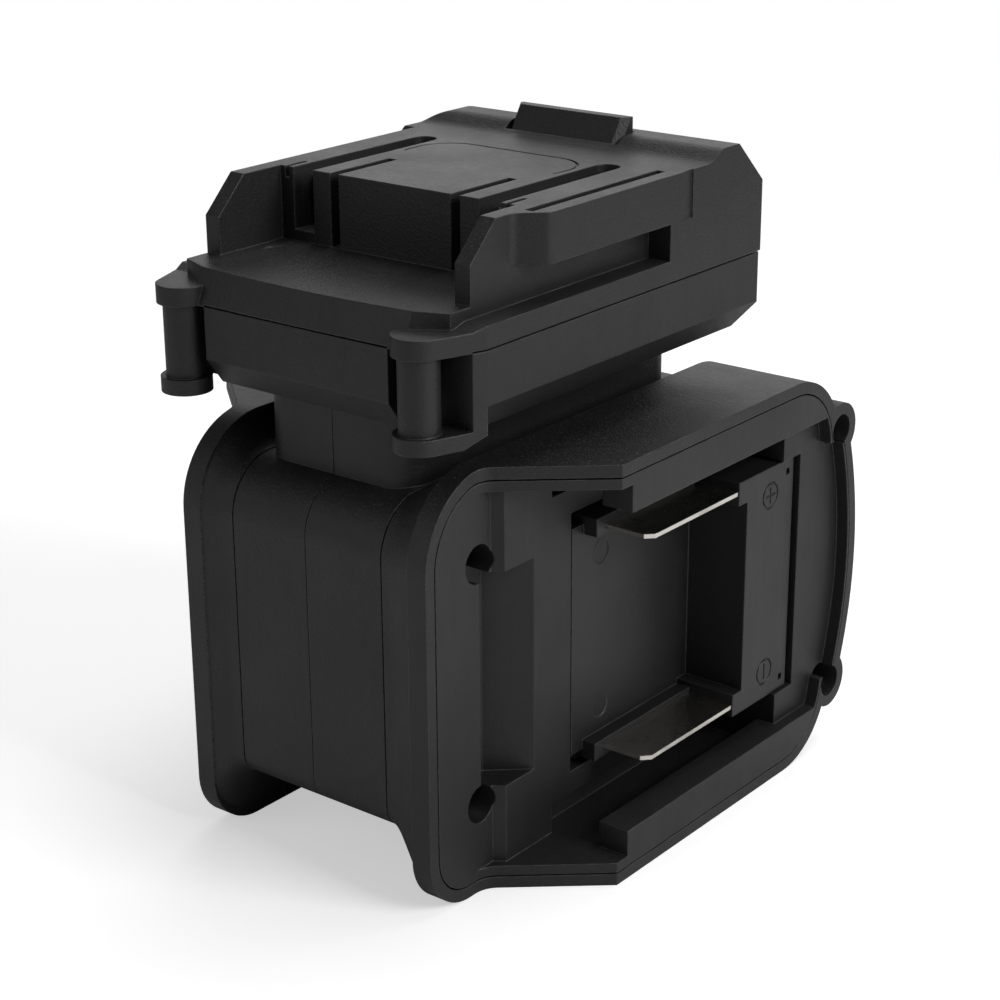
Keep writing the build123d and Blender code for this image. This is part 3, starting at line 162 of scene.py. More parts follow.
# CAD nodes by finish
CASING_NODES = (
    "body_left_half",
    "body_right_half",
    "left_collar",
    "right_collar",
    "plug_lower_shell",
)
FACE_NODES = ("left_receiver_plate", "right_receiver_plate")
PLUG_TOP_NODES = ("plug_upper_shell", "latch_hook")
HOLDER_NODES = ("left_terminal_holder", "right_terminal_holder")
BLADE_NODES = (
    "left_positive_blade",
    "left_negative_blade",
    "right_positive_blade",
    "right_negative_blade",
)
CLIP_NODES = ("plug_positive_clip", "plug_negative_clip")
SCREW_NODES = (
    "plug_case_screws",
    "body_screws",
    "left_receiver_screws",
    "right_receiver_screws",
)
# black mouldings: nodes, material, share of the grain's depth, added gloss, share of the painted glints
# on grains that face up
MOULDINGS = (
    (CASING_NODES, "casing_plastic", 1.0, 0.0, 1.0),
    (FACE_NODES, "receiver_plastic", 0.5, 0.0, 0.5),
    (PLUG_TOP_NODES, "plug_plastic", 1.0, 0.0, 1.0),
    (HOLDER_NODES, "holder_plastic", 0.4, 0.06, 0.3),
)


def spring_box():
    """Foot, height and outer radius of the latch spring, as the frame gives them."""
    low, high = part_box("latch_spring")
    middle = (low + high) / 2
    return Vector((middle.x, middle.y, low.z)), high.z - low.z, (high.x - low.x) / 2


SPRING_FOOT, SPRING_HEIGHT, SPRING_RADIUS = spring_box()


class Term:
    """A number that changes over a surface, written as ordinary maths."""

    def __init__(self, shader, socket):
        self.shader = shader
        self.socket = socket

    def _maths(self, operation, first, second):
        node = self.shader.node("ShaderNodeMath", {"operation": operation}, {0: first, 1: second})
        return Term(self.shader, node.outputs[0])

    def __add__(self, other):
        return self._maths("ADD", self, other)

    def __sub__(self, other):
        return self._maths("SUBTRACT", self, other)

    def __rsub__(self, other):
        return self._maths("SUBTRACT", other, self)

    def __mul__(self, other):
        return self._maths("MULTIPLY", self, other)

    __radd__ = __add__
    __rmul__ = __mul__

    def clamped(self):
        """The same number kept between 0 and 1."""
        node = self.shader.node("ShaderNodeClamp", {}, {"Value": self})
        return Term(self.shader, node.outputs[0])

    def ramp(self, start, end, low=0.0, high=1.0):
        """A smooth rise from low at start to high at end."""
        node = self.shader.node(
            "ShaderNodeMapRange",
            {"interpolation_type": "SMOOTHSTEP"},
            {"Value": self, "From Min": start, "From Max": end, "To Min": low, "To Max": high},
        )
        return Term(self.shader, node.outputs[0])


def feed(tree, socket, value):
    """Gives a socket a link where the value comes from a node, and otherwise the value."""
    if isinstance(value, Term):
        tree.links.new(value.socket, socket)
    elif isinstance(value, bpy.types.NodeSocket):
        tree.links.new(value, socket)
    else:
        socket.default_value = value


class Shader:
    """A material whose nodes are written as calls and expressions."""

    def __init__(self, name):
        self.material = bpy.data.materials.new(name)
        self.material.use_nodes = True
        self.tree = self.material.node_tree
        self.tree.nodes.clear()

    def node(self, kind, settings, values):
        """Adds a node: first its settings, then a value or a link for each named socket."""
        node = self.tree.nodes.new(kind)
        for key, setting in settings.items():
            setattr(node, key, setting)
        for key, value in values.items():
            feed(self.tree, node.inputs[key], value)
        return node

    def coordinates(self):
        """Object coordinates, in metres."""
        return self.node("ShaderNodeTexCoord", {}, {}).outputs["Object"]

    def stretched(self, coordinates, scale):
        """The coordinates with a scale of their own along each axis."""
        node = self.node("ShaderNodeMapping", {}, {"Vector": coordinates, "Scale": scale})
        return node.outputs["Vector"]

    def noise(self, coordinates, size, detail=2.0, roughness=0.5):
        """Soft noise whose grains are about size metres across."""
        node = self.node(
            "ShaderNodeTexNoise",
            {},
            {"Vector": coordinates, "Scale": 1 / size, "Detail": detail, "Roughness": roughness},
        )
        return Term(self, node.outputs["Fac"])

    def cells(self, coordinates, size):
        """Distance to scattered points that lie about size metres apart."""
        node = self.node("ShaderNodeTexVoronoi", {}, {"Vector": coordinates, "Scale": 1 / size})
        return Term(self, node.outputs["Distance"])

    def upward(self):
        """How far the surface looks up, from -1 to 1."""
        facing = self.node("ShaderNodeTexCoord", {}, {}).outputs["Normal"]
        parts = self.node("ShaderNodeSeparateXYZ", {}, {"Vector": facing})
        return Term(self, parts.outputs["Z"])

    def soft_edges(self, radius):
        """Normal rounded off over the edges, and how far it turns from the flat one."""
        bevel = self.node("ShaderNodeBevel", {"samples": BEVEL_SAMPLES}, {"Radius": radius})
        flat = self.node("ShaderNodeNewGeometry", {}, {}).outputs["Normal"]
        dot = self.node(
            "ShaderNodeVectorMath",
            {"operation": "DOT_PRODUCT"},
            {0: bevel.outputs["Normal"], 1: flat},
        )
        return bevel.outputs["Normal"], 1 - Term(self, dot.outputs["Value"])

    def mixed_colour(self, factor, first, second):
        """A colour between two, by factor."""
        node = self.tree.nodes.new("ShaderNodeMix")
        node.data_type = "RGBA"
        inputs = {socket.identifier: socket for socket in node.inputs}
        feed(self.tree, inputs["Factor_Float"], factor)
        feed(self.tree, inputs["A_Color"], first)
        feed(self.tree, inputs["B_Color"], second)
        return next(socket for socket in node.outputs if socket.identifier == "Result_Color")

    def bump(self, height, depth, normal):
        """A normal roughened by a height between 0 and 1, depth metres deep."""
        values = {"Height": height, "Distance": depth, "Normal": normal}
        return self.node("ShaderNodeBump", {}, values).outputs["Normal"]

    def surface(self, **values):
        """Ends the material in a Principled shader with these inputs."""
        named = {key.replace("_", " "): value for key, value in values.items()}
        shader = self.node("ShaderNodeBsdfPrincipled", {}, named)
        self.node("ShaderNodeOutputMaterial", {}, {"Surface": shader.outputs[0]})
        return self.material


def rgba(colour):
    """A colour property with full alpha."""
    return (colour[0], colour[1], colour[2], 1.0)


def dress(names, material):
    """Gives the CAD nodes of these names one material."""
    for name in names:
        mesh = frame["nodes"][name].data
        mesh.materials.clear()
        mesh.materials.append(material)


class PlasticSettings(bpy.types.PropertyGroup):
    """Colours and grain of the black mouldings."""

    colour: bpy.props.FloatVectorProperty(
        name="Colour", description="Colour of the black plastic", subtype="COLOR",
        default=(0.010, 0.010, 0.011), min=0, max=1,
    )
    # this colour paints the scuffs and edge wear, and also the painted highlights on edges and on grains
    # that face up
    wear_and_highlight_colour: bpy.props.FloatVectorProperty(
        name="Worn Colour", description="Colour on rubbed edges and bright grains", subtype="COLOR",
        default=(0.15, 0.15, 0.153), min=0, max=1,
    )
    roughness: bpy.props.FloatProperty(
        name="Roughness", description="Middle roughness of the mouldings", subtype="FACTOR",
        default=0.5, min=0, max=1,
    )
    grain_size: bpy.props.FloatProperty(
        name="Grain Size", description="Width of one grain of the spark texture", unit="LENGTH",
        default=0.30 * MILLIMETRE,
    )
    grain_depth: bpy.props.FloatProperty(
        name="Grain Depth", description="Depth of the spark texture", unit="LENGTH",
        default=0.07 * MILLIMETRE,
    )
    edge_radius: bpy.props.FloatProperty(
        name="Edge Radius", description="Radius of the moulded edges", unit="LENGTH",
        default=0.35 * MILLIMETRE,
    )


class MetalSettings(bpy.types.PropertyGroup):
    """Colours of the contacts and fasteners."""

    nickel: bpy.props.FloatVectorProperty(
        name="Nickel", description="Colour of the plated contacts", subtype="COLOR",
        default=(0.79, 0.76, 0.70), min=0, max=1,
    )
    screw: bpy.props.FloatVectorProperty(
        name="Screw", description="Colour of the blackened screws", subtype="COLOR",
        default=(0.16, 0.16, 0.17), min=0, max=1,
    )
    spring: bpy.props.FloatVectorProperty(
        name="Spring", description="Colour of the latch spring", subtype="COLOR",
        default=(0.62, 0.62, 0.63), min=0, max=1,
    )


class LeadSettings(bpy.types.PropertyGroup):
    """Colours of the wires inside the body."""

    positive: bpy.props.FloatVectorProperty(
        name="Positive", description="Insulation of the positive lead", subtype="COLOR",
        default=(0.55, 0.03, 0.03), min=0, max=1,
    )
    negative: bpy.props.FloatVectorProperty(
        name="Negative", description="Insulation of the negative lead and the link", subtype="COLOR",
        default=(0.02, 0.02, 0.02), min=0, max=1,
    )


class SpringSettings(bpy.types.PropertyGroup):
    """Sizes of the latch spring."""

    wire: bpy.props.FloatProperty(
        name="Wire Radius", description="Radius of the spring wire", unit="LENGTH",
        default=0.35 * MILLIMETRE,
    )
    turns: bpy.props.FloatProperty(name="Turns", description="Number of coils", default=5.0)
    steps: bpy.props.IntProperty(name="Steps", description="Straight steps in one turn", default=28)
    travel: bpy.props.FloatProperty(
        name="Travel", description="How far the latch presses the spring", unit="LENGTH",
        default=frame["joints"][0]["range_m"][1],
    )


class ScrewSettings(bpy.types.PropertyGroup):
    """Sizes of the screws that the frame leaves plain."""

    pitch: bpy.props.FloatProperty(
        name="Pitch", description="Advance of the thread in one turn", unit="LENGTH",
        default=1.1 * MILLIMETRE,
    )
    thread: bpy.props.FloatProperty(
        name="Thread Radius", description="Radius of the rounded thread", unit="LENGTH",
        default=0.28 * MILLIMETRE,
    )
    drive_width: bpy.props.FloatProperty(
        name="Drive Width", description="Width of the arms of the cross recess", unit="LENGTH",
        default=0.75 * MILLIMETRE,
    )
    drive_depth: bpy.props.FloatProperty(
        name="Drive Depth", description="Depth of the cross recess", unit="LENGTH",
        default=0.9 * MILLIMETRE,
    )
    sides: bpy.props.IntProperty(name="Sides", description="Straight sides round the head", default=40)


class CameraSettings(bpy.types.PropertyGroup):
    """Where the photograph was taken from."""

    place: bpy.props.FloatVectorProperty(
        name="Place", description="Camera place in the frame of the object", subtype="TRANSLATION",
        default=(0.23754, -0.29828, 0.19467),
    )
    azimuth: bpy.props.FloatProperty(
        name="Azimuth", description="Turn from looking along +Y", subtype="ANGLE",
        default=math.radians(38.36),
    )
    elevation: bpy.props.FloatProperty(
        name="Elevation", description="Angle of looking down", subtype="ANGLE",
        default=math.radians(20.36),
    )
    roll: bpy.props.FloatProperty(
        name="Roll", description="Turn about the line of sight", subtype="ANGLE",
        default=math.radians(-0.35),
    )
    lens: bpy.props.FloatProperty(
        name="Lens", description="Focal length on a 36 mm sensor", default=81.40,
    )


class StudioSettings(bpy.types.PropertyGroup):
    """Lamps, floor and surroundings."""

    key: bpy.props.FloatProperty(
        name="Key", description="Power of the key lamp, on the right", unit="POWER", default=3.5,
    )
    fill: bpy.props.FloatProperty(
        name="Fill", description="Power of the fill lamp, in front", unit="POWER", default=0.85,
    )
    top: bpy.props.FloatProperty(
        name="Top", description="Power of the top lamp, overhead", unit="POWER", default=2.6,
    )
    back: bpy.props.FloatProperty(
        name="Back", description="Power of the back lamp, behind on the left", unit="POWER", default=1.5,
    )
    world: bpy.props.FloatProperty(
        name="World", description="Strength of the soft surroundings", default=0.13,
    )
    fade_start: bpy.props.FloatProperty(
        name="Fade Start", description="Where the floor starts to turn into backdrop", unit="LENGTH",
        default=0.28,
    )
    fade_end: bpy.props.FloatProperty(
        name="Fade End", description="Where the floor has become backdrop", unit="LENGTH", default=0.60,
    )
    floor: bpy.props.FloatVectorProperty(
        name="Floor", description="Colour of the floor", subtype="COLOR",
        default=(0.80, 0.80, 0.80), min=0, max=1,
    )
    floor_glow: bpy.props.FloatProperty(
        name="Floor Glow", description="Light the floor adds for the camera alone", default=0.50,
    )


class AdapterSettings(bpy.types.PropertyGroup):
    """All settings of the adapter."""

    plastic: bpy.props.PointerProperty(type=PlasticSettings)
    metal: bpy.props.PointerProperty(type=MetalSettings)
    leads: bpy.props.PointerProperty(type=LeadSettings)
    spring: bpy.props.PointerProperty(type=SpringSettings)
    screws: bpy.props.PointerProperty(type=ScrewSettings)
    camera: bpy.props.PointerProperty(type=CameraSettings)
    studio: bpy.props.PointerProperty(type=StudioSettings)


def moulded_plastic(name, settings, grain, gloss, glint_share):
    """Black plastic with spark texture, cloudy gloss, faint flow marks, painted glints on grains that
    face up, and edges with rubbed wear and a painted highlight.
    """
    shader = Shader(name)
    place = shader.coordinates()
    grains = shader.noise(place, settings.grain_size, detail=3.0, roughness=0.6)
    pits = shader.cells(place, PIT_SPACING * settings.grain_size)
    clouds = shader.noise(place, CLOUD_SIZE, detail=4.0, roughness=0.6)
    flow = shader.noise(shader.stretched(place, FLOW_STRETCH), FLOW_SIZE, detail=3.0)
    scuffs = shader.noise(shader.stretched(place, SCUFF_STRETCH), SCUFF_SIZE, detail=5.0)
    rounded, edge = shader.soft_edges(settings.edge_radius)
    height = grains * GRAIN_HEIGHT + pits * PIT_HEIGHT
    normal = shader.bump(height, settings.grain_depth * grain, rounded)
    # painted highlight: grains on faces that look up are lighter in colour, as if lit from above
    glints = grains.ramp(*PAINTED_GLINT_GRAINS) * glint_share * shader.upward().ramp(*GLINT_FACING_UP)
    # edges and patches along them are lighter: partly rubbed wear, partly a painted highlight
    rubbed_and_lit = edge.ramp(*RUBBED_AND_LIT_EDGES) * scuffs.ramp(*EDGE_PATCHES)
    streaks = (flow - NOISE_MIDDLE) * FLOW_ROUGHNESS
    # colour of the painted glints, of edges with wear and painted highlight, and of real scuffs
    wear_and_highlight = glints * GLINT_HIGHLIGHT + rubbed_and_lit * EDGE_WEAR_AND_HIGHLIGHT + scuffs.ramp(*SCUFF_MARKS) * SCUFF_WEAR
    cloudy = settings.roughness - gloss + (clouds - NOISE_MIDDLE) * CLOUD_ROUGHNESS
    roughness = cloudy + streaks + glints * GLINT_ROUGHNESS
    colour = shader.mixed_colour(wear_and_highlight.clamped(), rgba(settings.colour), rgba(settings.wear_and_highlight_colour))
    return shader.surface(Base_Color=colour, Roughness=roughness.clamped(), Normal=normal)


def plated_metal(name, colour, along, roughness, edge_radius):
    """Drawn or plated metal with fine lines along one axis and soft edges that keep clear of the stains,
    a painted highlight along them.
    """
    shader = Shader(name)
    place = shader.coordinates()
    lines = shader.noise(shader.stretched(place, along), LINE_SIZE, detail=4.0)
    stains = shader.noise(place, STAIN_SIZE, detail=5.0, roughness=0.65)
    rounded, edge = shader.soft_edges(edge_radius)
    normal = shader.bump(lines, LINE_DEPTH, rounded)
    dull = [DULL_SHARE * part for part in colour]
    # painted highlight: the edges keep the full nickel colour while stains dull the faces
    stained = stains.ramp(*STAIN_MARKS) * (1 - edge.ramp(*PAINTED_EDGE_HIGHLIGHT))
    tone = shader.mixed_colour(stained, rgba(colour), rgba(dull))
    streaks = (lines - NOISE_MIDDLE) * LINE_ROUGHNESS
    gloss = roughness + streaks + (stains - NOISE_MIDDLE) * STAIN_ROUGHNESS
    return shader.surface(Base_Color=tone, Metallic=1.0, Roughness=gloss.clamped(), Normal=normal)


def wire_insulation(name, colour):
    """Soft glossy insulation with faint rings."""
    shader = Shader(name)
    place = shader.coordinates()
    rings = shader.noise(shader.stretched(place, RING_STRETCH), RING_SIZE)
    shade = [RING_SHADE * part for part in colour]
    tone = shader.mixed_colour(rings, rgba(colour), rgba(shade))
    plain = shader.node("ShaderNodeNewGeometry", {}, {}).outputs["Normal"]
    normal = shader.bump(rings, RING_DEPTH, plain)
    roughness = rings * RING_ROUGHNESS + WIRE_ROUGHNESS
    return shader.surface(Base_Color=tone, Roughness=roughness, Normal=normal)


class Blank:
    """A plain screw of the frame: its axis, ends and radii, read from its points."""

    def __init__(self, points):
        low = Vector([min(point[i] for point in points) for i in range(3)])
        high = Vector([max(point[i] for point in points) for i in range(3)])
        spans = high - low
        self.axis = max(range(3), key=lambda index: spans[index])
        self.length = spans[self.axis]
        self.middle = (low + high) / 2
        ends = {}
        for name, level in (("low", low[self.axis]), ("high", high[self.axis])):
            ends[name] = max(
                self.off_axis(point) for point in points if abs(point[self.axis] - level) < NEAR_END
            )
        self.head_up = ends["high"] > ends["low"]
        self.head_radius = max(ends.values())
        self.shank_radius = min(ends.values())
        head_level = high[self.axis] if self.head_up else low[self.axis]
        self.top = self.middle.copy()
        self.top[self.axis] = head_level
        self.head_height = max(
            abs(point[self.axis] - head_level)
            for point in points
            if self.off_axis(point) > self.head_radius - NEAR_END
        )

    def off_axis(self, point):
        """How far a point lies from the axis of the screw."""
        step = point - self.middle
        step[self.axis] = 0
        return step.length

    def turn(self):
        """The rotation that stands the screw's own Z along the axis, head first."""
        way = Vector((0, 0, 0))
        way[self.axis] = 1 if self.head_up else -1
        return way.to_track_quat("Z", "Y").to_euler()


def islands(node):
    """The separate solids of a CAD node, each as the list of its points."""
    copy = bmesh.new()
    copy.from_mesh(frame["nodes"][node].data)
    bmesh.ops.remove_doubles(copy, verts=copy.verts, dist=SAME_POINT)
    left = set(copy.verts)
    found = []
    while left:
        stack = [left.pop()]
        group = []
        while stack:
            vertex = stack.pop()
            group.append(vertex.co.copy())
            for edge in vertex.link_edges:
                other = edge.other_vert(vertex)
                if other in left:
                    left.remove(other)
                    stack.append(other)
        found.append(group)
    copy.free()
    return sorted(found, key=lambda points: tuple(min(tuple(point) for point in points)))


class NodeBuilder:
    """A Geometry Nodes tree with named inputs."""

    def __init__(self, name):
        self.tree = bpy.data.node_groups.new(name, "GeometryNodeTree")
        self.tree.interface.new_socket("Geometry", in_out="INPUT", socket_type="NodeSocketGeometry")
        self.identifiers = {}

    def declare(self, kind, *names):
        """Declares named inputs of one kind."""
        for name in names:
            socket = self.tree.interface.new_socket(name, in_out="INPUT", socket_type=kind)
            self.identifiers[name] = socket.identifier

    def start(self):
        """The node that gives the inputs, once all are declared."""
        self.tree.interface.new_socket("Geometry", in_out="OUTPUT", socket_type="NodeSocketGeometry")
        self.inputs = self.tree.nodes.new("NodeGroupInput").outputs
        return self.inputs

    def node(self, kind, settings, values):
        """Adds a node with its settings, then a value or a link for each socket."""
        node = self.tree.nodes.new(kind)
        for key, setting in settings.items():
            setattr(node, key, setting)
        for key, value in values.items():
            feed(self.tree, node.inputs[key], value)
        return node

    def maths(self, operation, first, second):
        """A number worked out from two others."""
        return self.node("ShaderNodeMath", {"operation": operation}, {0: first, 1: second}).outputs[0]

    def along_z(self, height):
        """A vector that points along Z by a height."""
        return self.node("ShaderNodeCombineXYZ", {}, {"Z": height}).outputs[0]

    def moved(self, geometry, **values):
        """The geometry with a translation, and where it is given a rotation."""
        values["Geometry"] = geometry
        return self.node("GeometryNodeTransform", {}, values).outputs[0]

    def tube(self, curve, wire_radius, sides):
        """A round tube of these sides along a spiral with these inputs."""
        spiral = self.node("GeometryNodeCurveSpiral", {}, curve)
        ring = self.node(
            "GeometryNodeCurvePrimitiveCircle", {}, {"Resolution": sides, "Radius": wire_radius}
        )
        swept = self.node(
            "GeometryNodeCurveToMesh",
            {},
            {"Curve": spiral.outputs[0], "Profile Curve": ring.outputs[0], "Fill Caps": True},
        )
        return swept.outputs[0]

    def finish(self, geometry, material):
        """Ends the tree: instances made real, then the material."""
        real = self.node("GeometryNodeRealizeInstances", {}, {"Geometry": geometry})
        painted = self.node(
            "GeometryNodeSetMaterial", {}, {"Geometry": real.outputs[0], "Material": material}
        )
        self.node("NodeGroupOutput", {}, {"Geometry": painted.outputs[0]})

    def make(self, name, values):
        """Runs the tree with these values and returns a plain mesh object."""
        holder = bpy.data.objects.new(name + "_holder", bpy.data.meshes.new("empty"))
        bpy.context.scene.collection.objects.link(holder)
        modifier = holder.modifiers.new("Build", "NODES")
        modifier.node_group = self.tree
        for key, value in values.items():
            modifier[self.identifiers[key]] = value
        graph = bpy.context.evaluated_depsgraph_get()
        plain = bpy.data.meshes.new_from_object(holder.evaluated_get(graph))
        holder.modifiers.clear()
        bpy.data.objects.remove(holder)
        plain.name = name
        piece = bpy.data.objects.new(name, plain)
        bpy.context.scene.collection.objects.link(piece)
        return piece


def settings_of(context):
    """The adapter's settings in this scene."""
    return context.scene.adapter_settings


class ADAPTER_OT_finish_casing(bpy.types.Operator):
    """Gives the black mouldings their spark texture"""

    bl_idname = "adapter.finish_casing"
    bl_label = "Finish Casing"

    def execute(self, context):
        plastic = settings_of(context).plastic
        for names, material, grain, gloss, glint_share in MOULDINGS:
            dress(names, moulded_plastic(material, plastic, grain, gloss, glint_share))
        return {"FINISHED"}


class ADAPTER_OT_finish_contacts(bpy.types.Operator):
    """Plates the blades and the clips"""

    bl_idname = "adapter.finish_contacts"
    bl_label = "Finish Contacts"

    def execute(self, context):
        nickel = settings_of(context).metal.nickel
        dress(BLADE_NODES, plated_metal("blade_nickel", nickel, *BLADE_FINISH))
        dress(CLIP_NODES, plated_metal("clip_nickel", nickel, *CLIP_FINISH))
        return {"FINISHED"}


class ADAPTER_OT_finish_leads(bpy.types.Operator):
    """Colours the wires inside the body"""

    bl_idname = "adapter.finish_leads"
    bl_label = "Finish Leads"

    def execute(self, context):
        leads = settings_of(context).leads
        dress(("positive_lead",), wire_insulation("red_insulation", leads.positive))
        dress(("negative_lead", "series_link"), wire_insulation("black_insulation", leads.negative))
        return {"FINISHED"}


class ADAPTER_OT_turn_screws(bpy.types.Operator):
    """Turns every screw with a pan head, a cross recess and a thread"""

    bl_idname = "adapter.turn_screws"
    bl_label = "Turn Screws"

    def execute(self, context):
        settings = settings_of(context)
        material = plated_metal("screw_steel", settings.metal.screw, *SCREW_FINISH)
        builder = self.grow(material)
        for node in SCREW_NODES:
            joined = bmesh.new()
            for points in islands(node):
                single = builder.make("single", self.sizes(Blank(points), settings.screws))
                joined.from_mesh(single.data)
                bpy.data.objects.remove(single)
            mesh = bpy.data.meshes.new(node + "_turned")
            joined.to_mesh(mesh)
            joined.free()
            mesh.materials.append(material)
            piece = bpy.data.objects.new(node + "_turned", mesh)
            context.scene.collection.objects.link(piece)
            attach(piece, HOUSING)
            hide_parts(node)
        return {"FINISHED"}

    def sizes(self, blank, screws):
        """What the tree is told for one screw."""
        shank_length = blank.length - blank.head_height
        return {
            "Head Radius": blank.head_radius,
            "Head Height": blank.head_height,
            "Shank Radius": blank.shank_radius - screws.thread,
            "Shank Length": shank_length,
            "Thread Radius": screws.thread,
            "Turns": shank_length / screws.pitch - PLAIN_TURNS,
            "Pitch": screws.pitch,
            "Drive Width": screws.drive_width,
            "Drive Depth": screws.drive_depth,
            "Sides": screws.sides,
            "Turn": blank.turn(),
            "Top": blank.top,
        }

    def grow(self, material):
        """The tree of one screw: its head ends at the origin and its shank runs down."""
        builder = NodeBuilder("pan_head_screw")
        builder.declare("NodeSocketFloat", "Head Radius", "Head Height", "Shank Radius")
        builder.declare("NodeSocketFloat", "Shank Length", "Thread Radius", "Turns", "Pitch")
        builder.declare("NodeSocketFloat", "Drive Width", "Drive Depth")
        builder.declare("NodeSocketInt", "Sides")
        builder.declare("NodeSocketRotation", "Turn")
        builder.declare("NodeSocketVector", "Top")
        given = builder.start()
        parts = (
            self.head(builder, given),
            self.drum(builder, given, "Shank Radius", "Shank Length", given["Head Height"]),
            self.thread(builder, given),
        )
        whole = builder.node("GeometryNodeJoinGeometry", {}, {})
        for part in parts:
            builder.tree.links.new(part, whole.inputs[0])
        placed = builder.moved(whole.outputs[0], Translation=given["Top"], Rotation=given["Turn"])
        builder.finish(placed, material)
        return builder

    def drum(self, builder, given, radius, height, below):
        """An upright cylinder whose top face lies this far below the origin."""
        drum = builder.node(
            "GeometryNodeMeshCylinder",
            {},
            {"Vertices": given["Sides"], "Radius": given[radius], "Depth": given[height]},
        )
        middle = builder.maths("ADD", builder.maths("DIVIDE", given[height], 2), below)
        drop = builder.maths("SUBTRACT", 0, middle)
        return builder.moved(drum.outputs[0], Translation=builder.along_z(drop))

    def head(self, builder, given):
        """The head, with the cross recess cut into its top."""
        cut = builder.node(
            "GeometryNodeMeshBoolean",
            {"operation": "DIFFERENCE"},
            {"Mesh 1": self.drum(builder, given, "Head Radius", "Head Height", 0)},
        )
        depth = builder.maths("MULTIPLY", given["Drive Depth"], 2)
        for width, length in (("Drive Width", "Head Radius"), ("Head Radius", "Drive Width")):
            size = builder.node(
                "ShaderNodeCombineXYZ", {}, {"X": given[width], "Y": given[length], "Z": depth}
            )
            bar = builder.node("GeometryNodeMeshCube", {}, {"Size": size.outputs[0]})
            builder.tree.links.new(bar.outputs[0], cut.inputs["Mesh 2"])
        return cut.outputs["Mesh"]

    def thread(self, builder, given):
        """The thread, wound upwards from the tip of the shank."""
        curve = {
            "Resolution": THREAD_STEPS,
            "Rotations": given["Turns"],
            "Start Radius": given["Shank Radius"],
            "End Radius": given["Shank Radius"],
            "Height": builder.maths("MULTIPLY", given["Turns"], given["Pitch"]),
        }
        wound = builder.tube(curve, given["Thread Radius"], THREAD_SIDES)
        length = builder.maths("ADD", given["Head Height"], given["Shank Length"])
        tip = builder.maths("SUBTRACT", given["Thread Radius"], length)
        return builder.moved(wound, Translation=builder.along_z(tip))


class ADAPTER_OT_wind_spring(bpy.types.Operator):
    """Winds the latch spring between its seat and the latch"""

    bl_idname = "adapter.wind_spring"
    bl_label = "Wind Spring"

    def execute(self, context):
        spring = settings_of(context).spring
        metal = settings_of(context).metal
        material = plated_metal("spring_steel", metal.spring, *COIL_FINISH)
        builder = NodeBuilder("coil_spring")
        builder.declare("NodeSocketFloat", "Turns", "Coil Radius", "Wire Radius", "Height")
        builder.declare("NodeSocketInt", "Steps")
        builder.declare("NodeSocketVector", "Foot")
        given = builder.start()
        curve = {
            "Resolution": given["Steps"],
            "Rotations": given["Turns"],
            "Start Radius": given["Coil Radius"],
            "End Radius": given["Coil Radius"],
            "Height": given["Height"],
        }
        wound = builder.tube(curve, given["Wire Radius"], COIL_SIDES)
        builder.finish(builder.moved(wound, Translation=given["Foot"]), material)
        piece = builder.make(
            "latch_coil",
            {
                "Turns": spring.turns,
                "Steps": spring.steps,
                "Coil Radius": SPRING_RADIUS - spring.wire,
                "Wire Radius": spring.wire,
                "Height": SPRING_HEIGHT - 2 * spring.wire,
                "Foot": SPRING_FOOT + Vector((0, 0, spring.wire)),
            },
        )
        for face in piece.data.polygons:
            face.use_smooth = True
        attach(piece, HOUSING)
        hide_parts("latch_spring")
        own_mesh(piece)
        return {"FINISHED"}


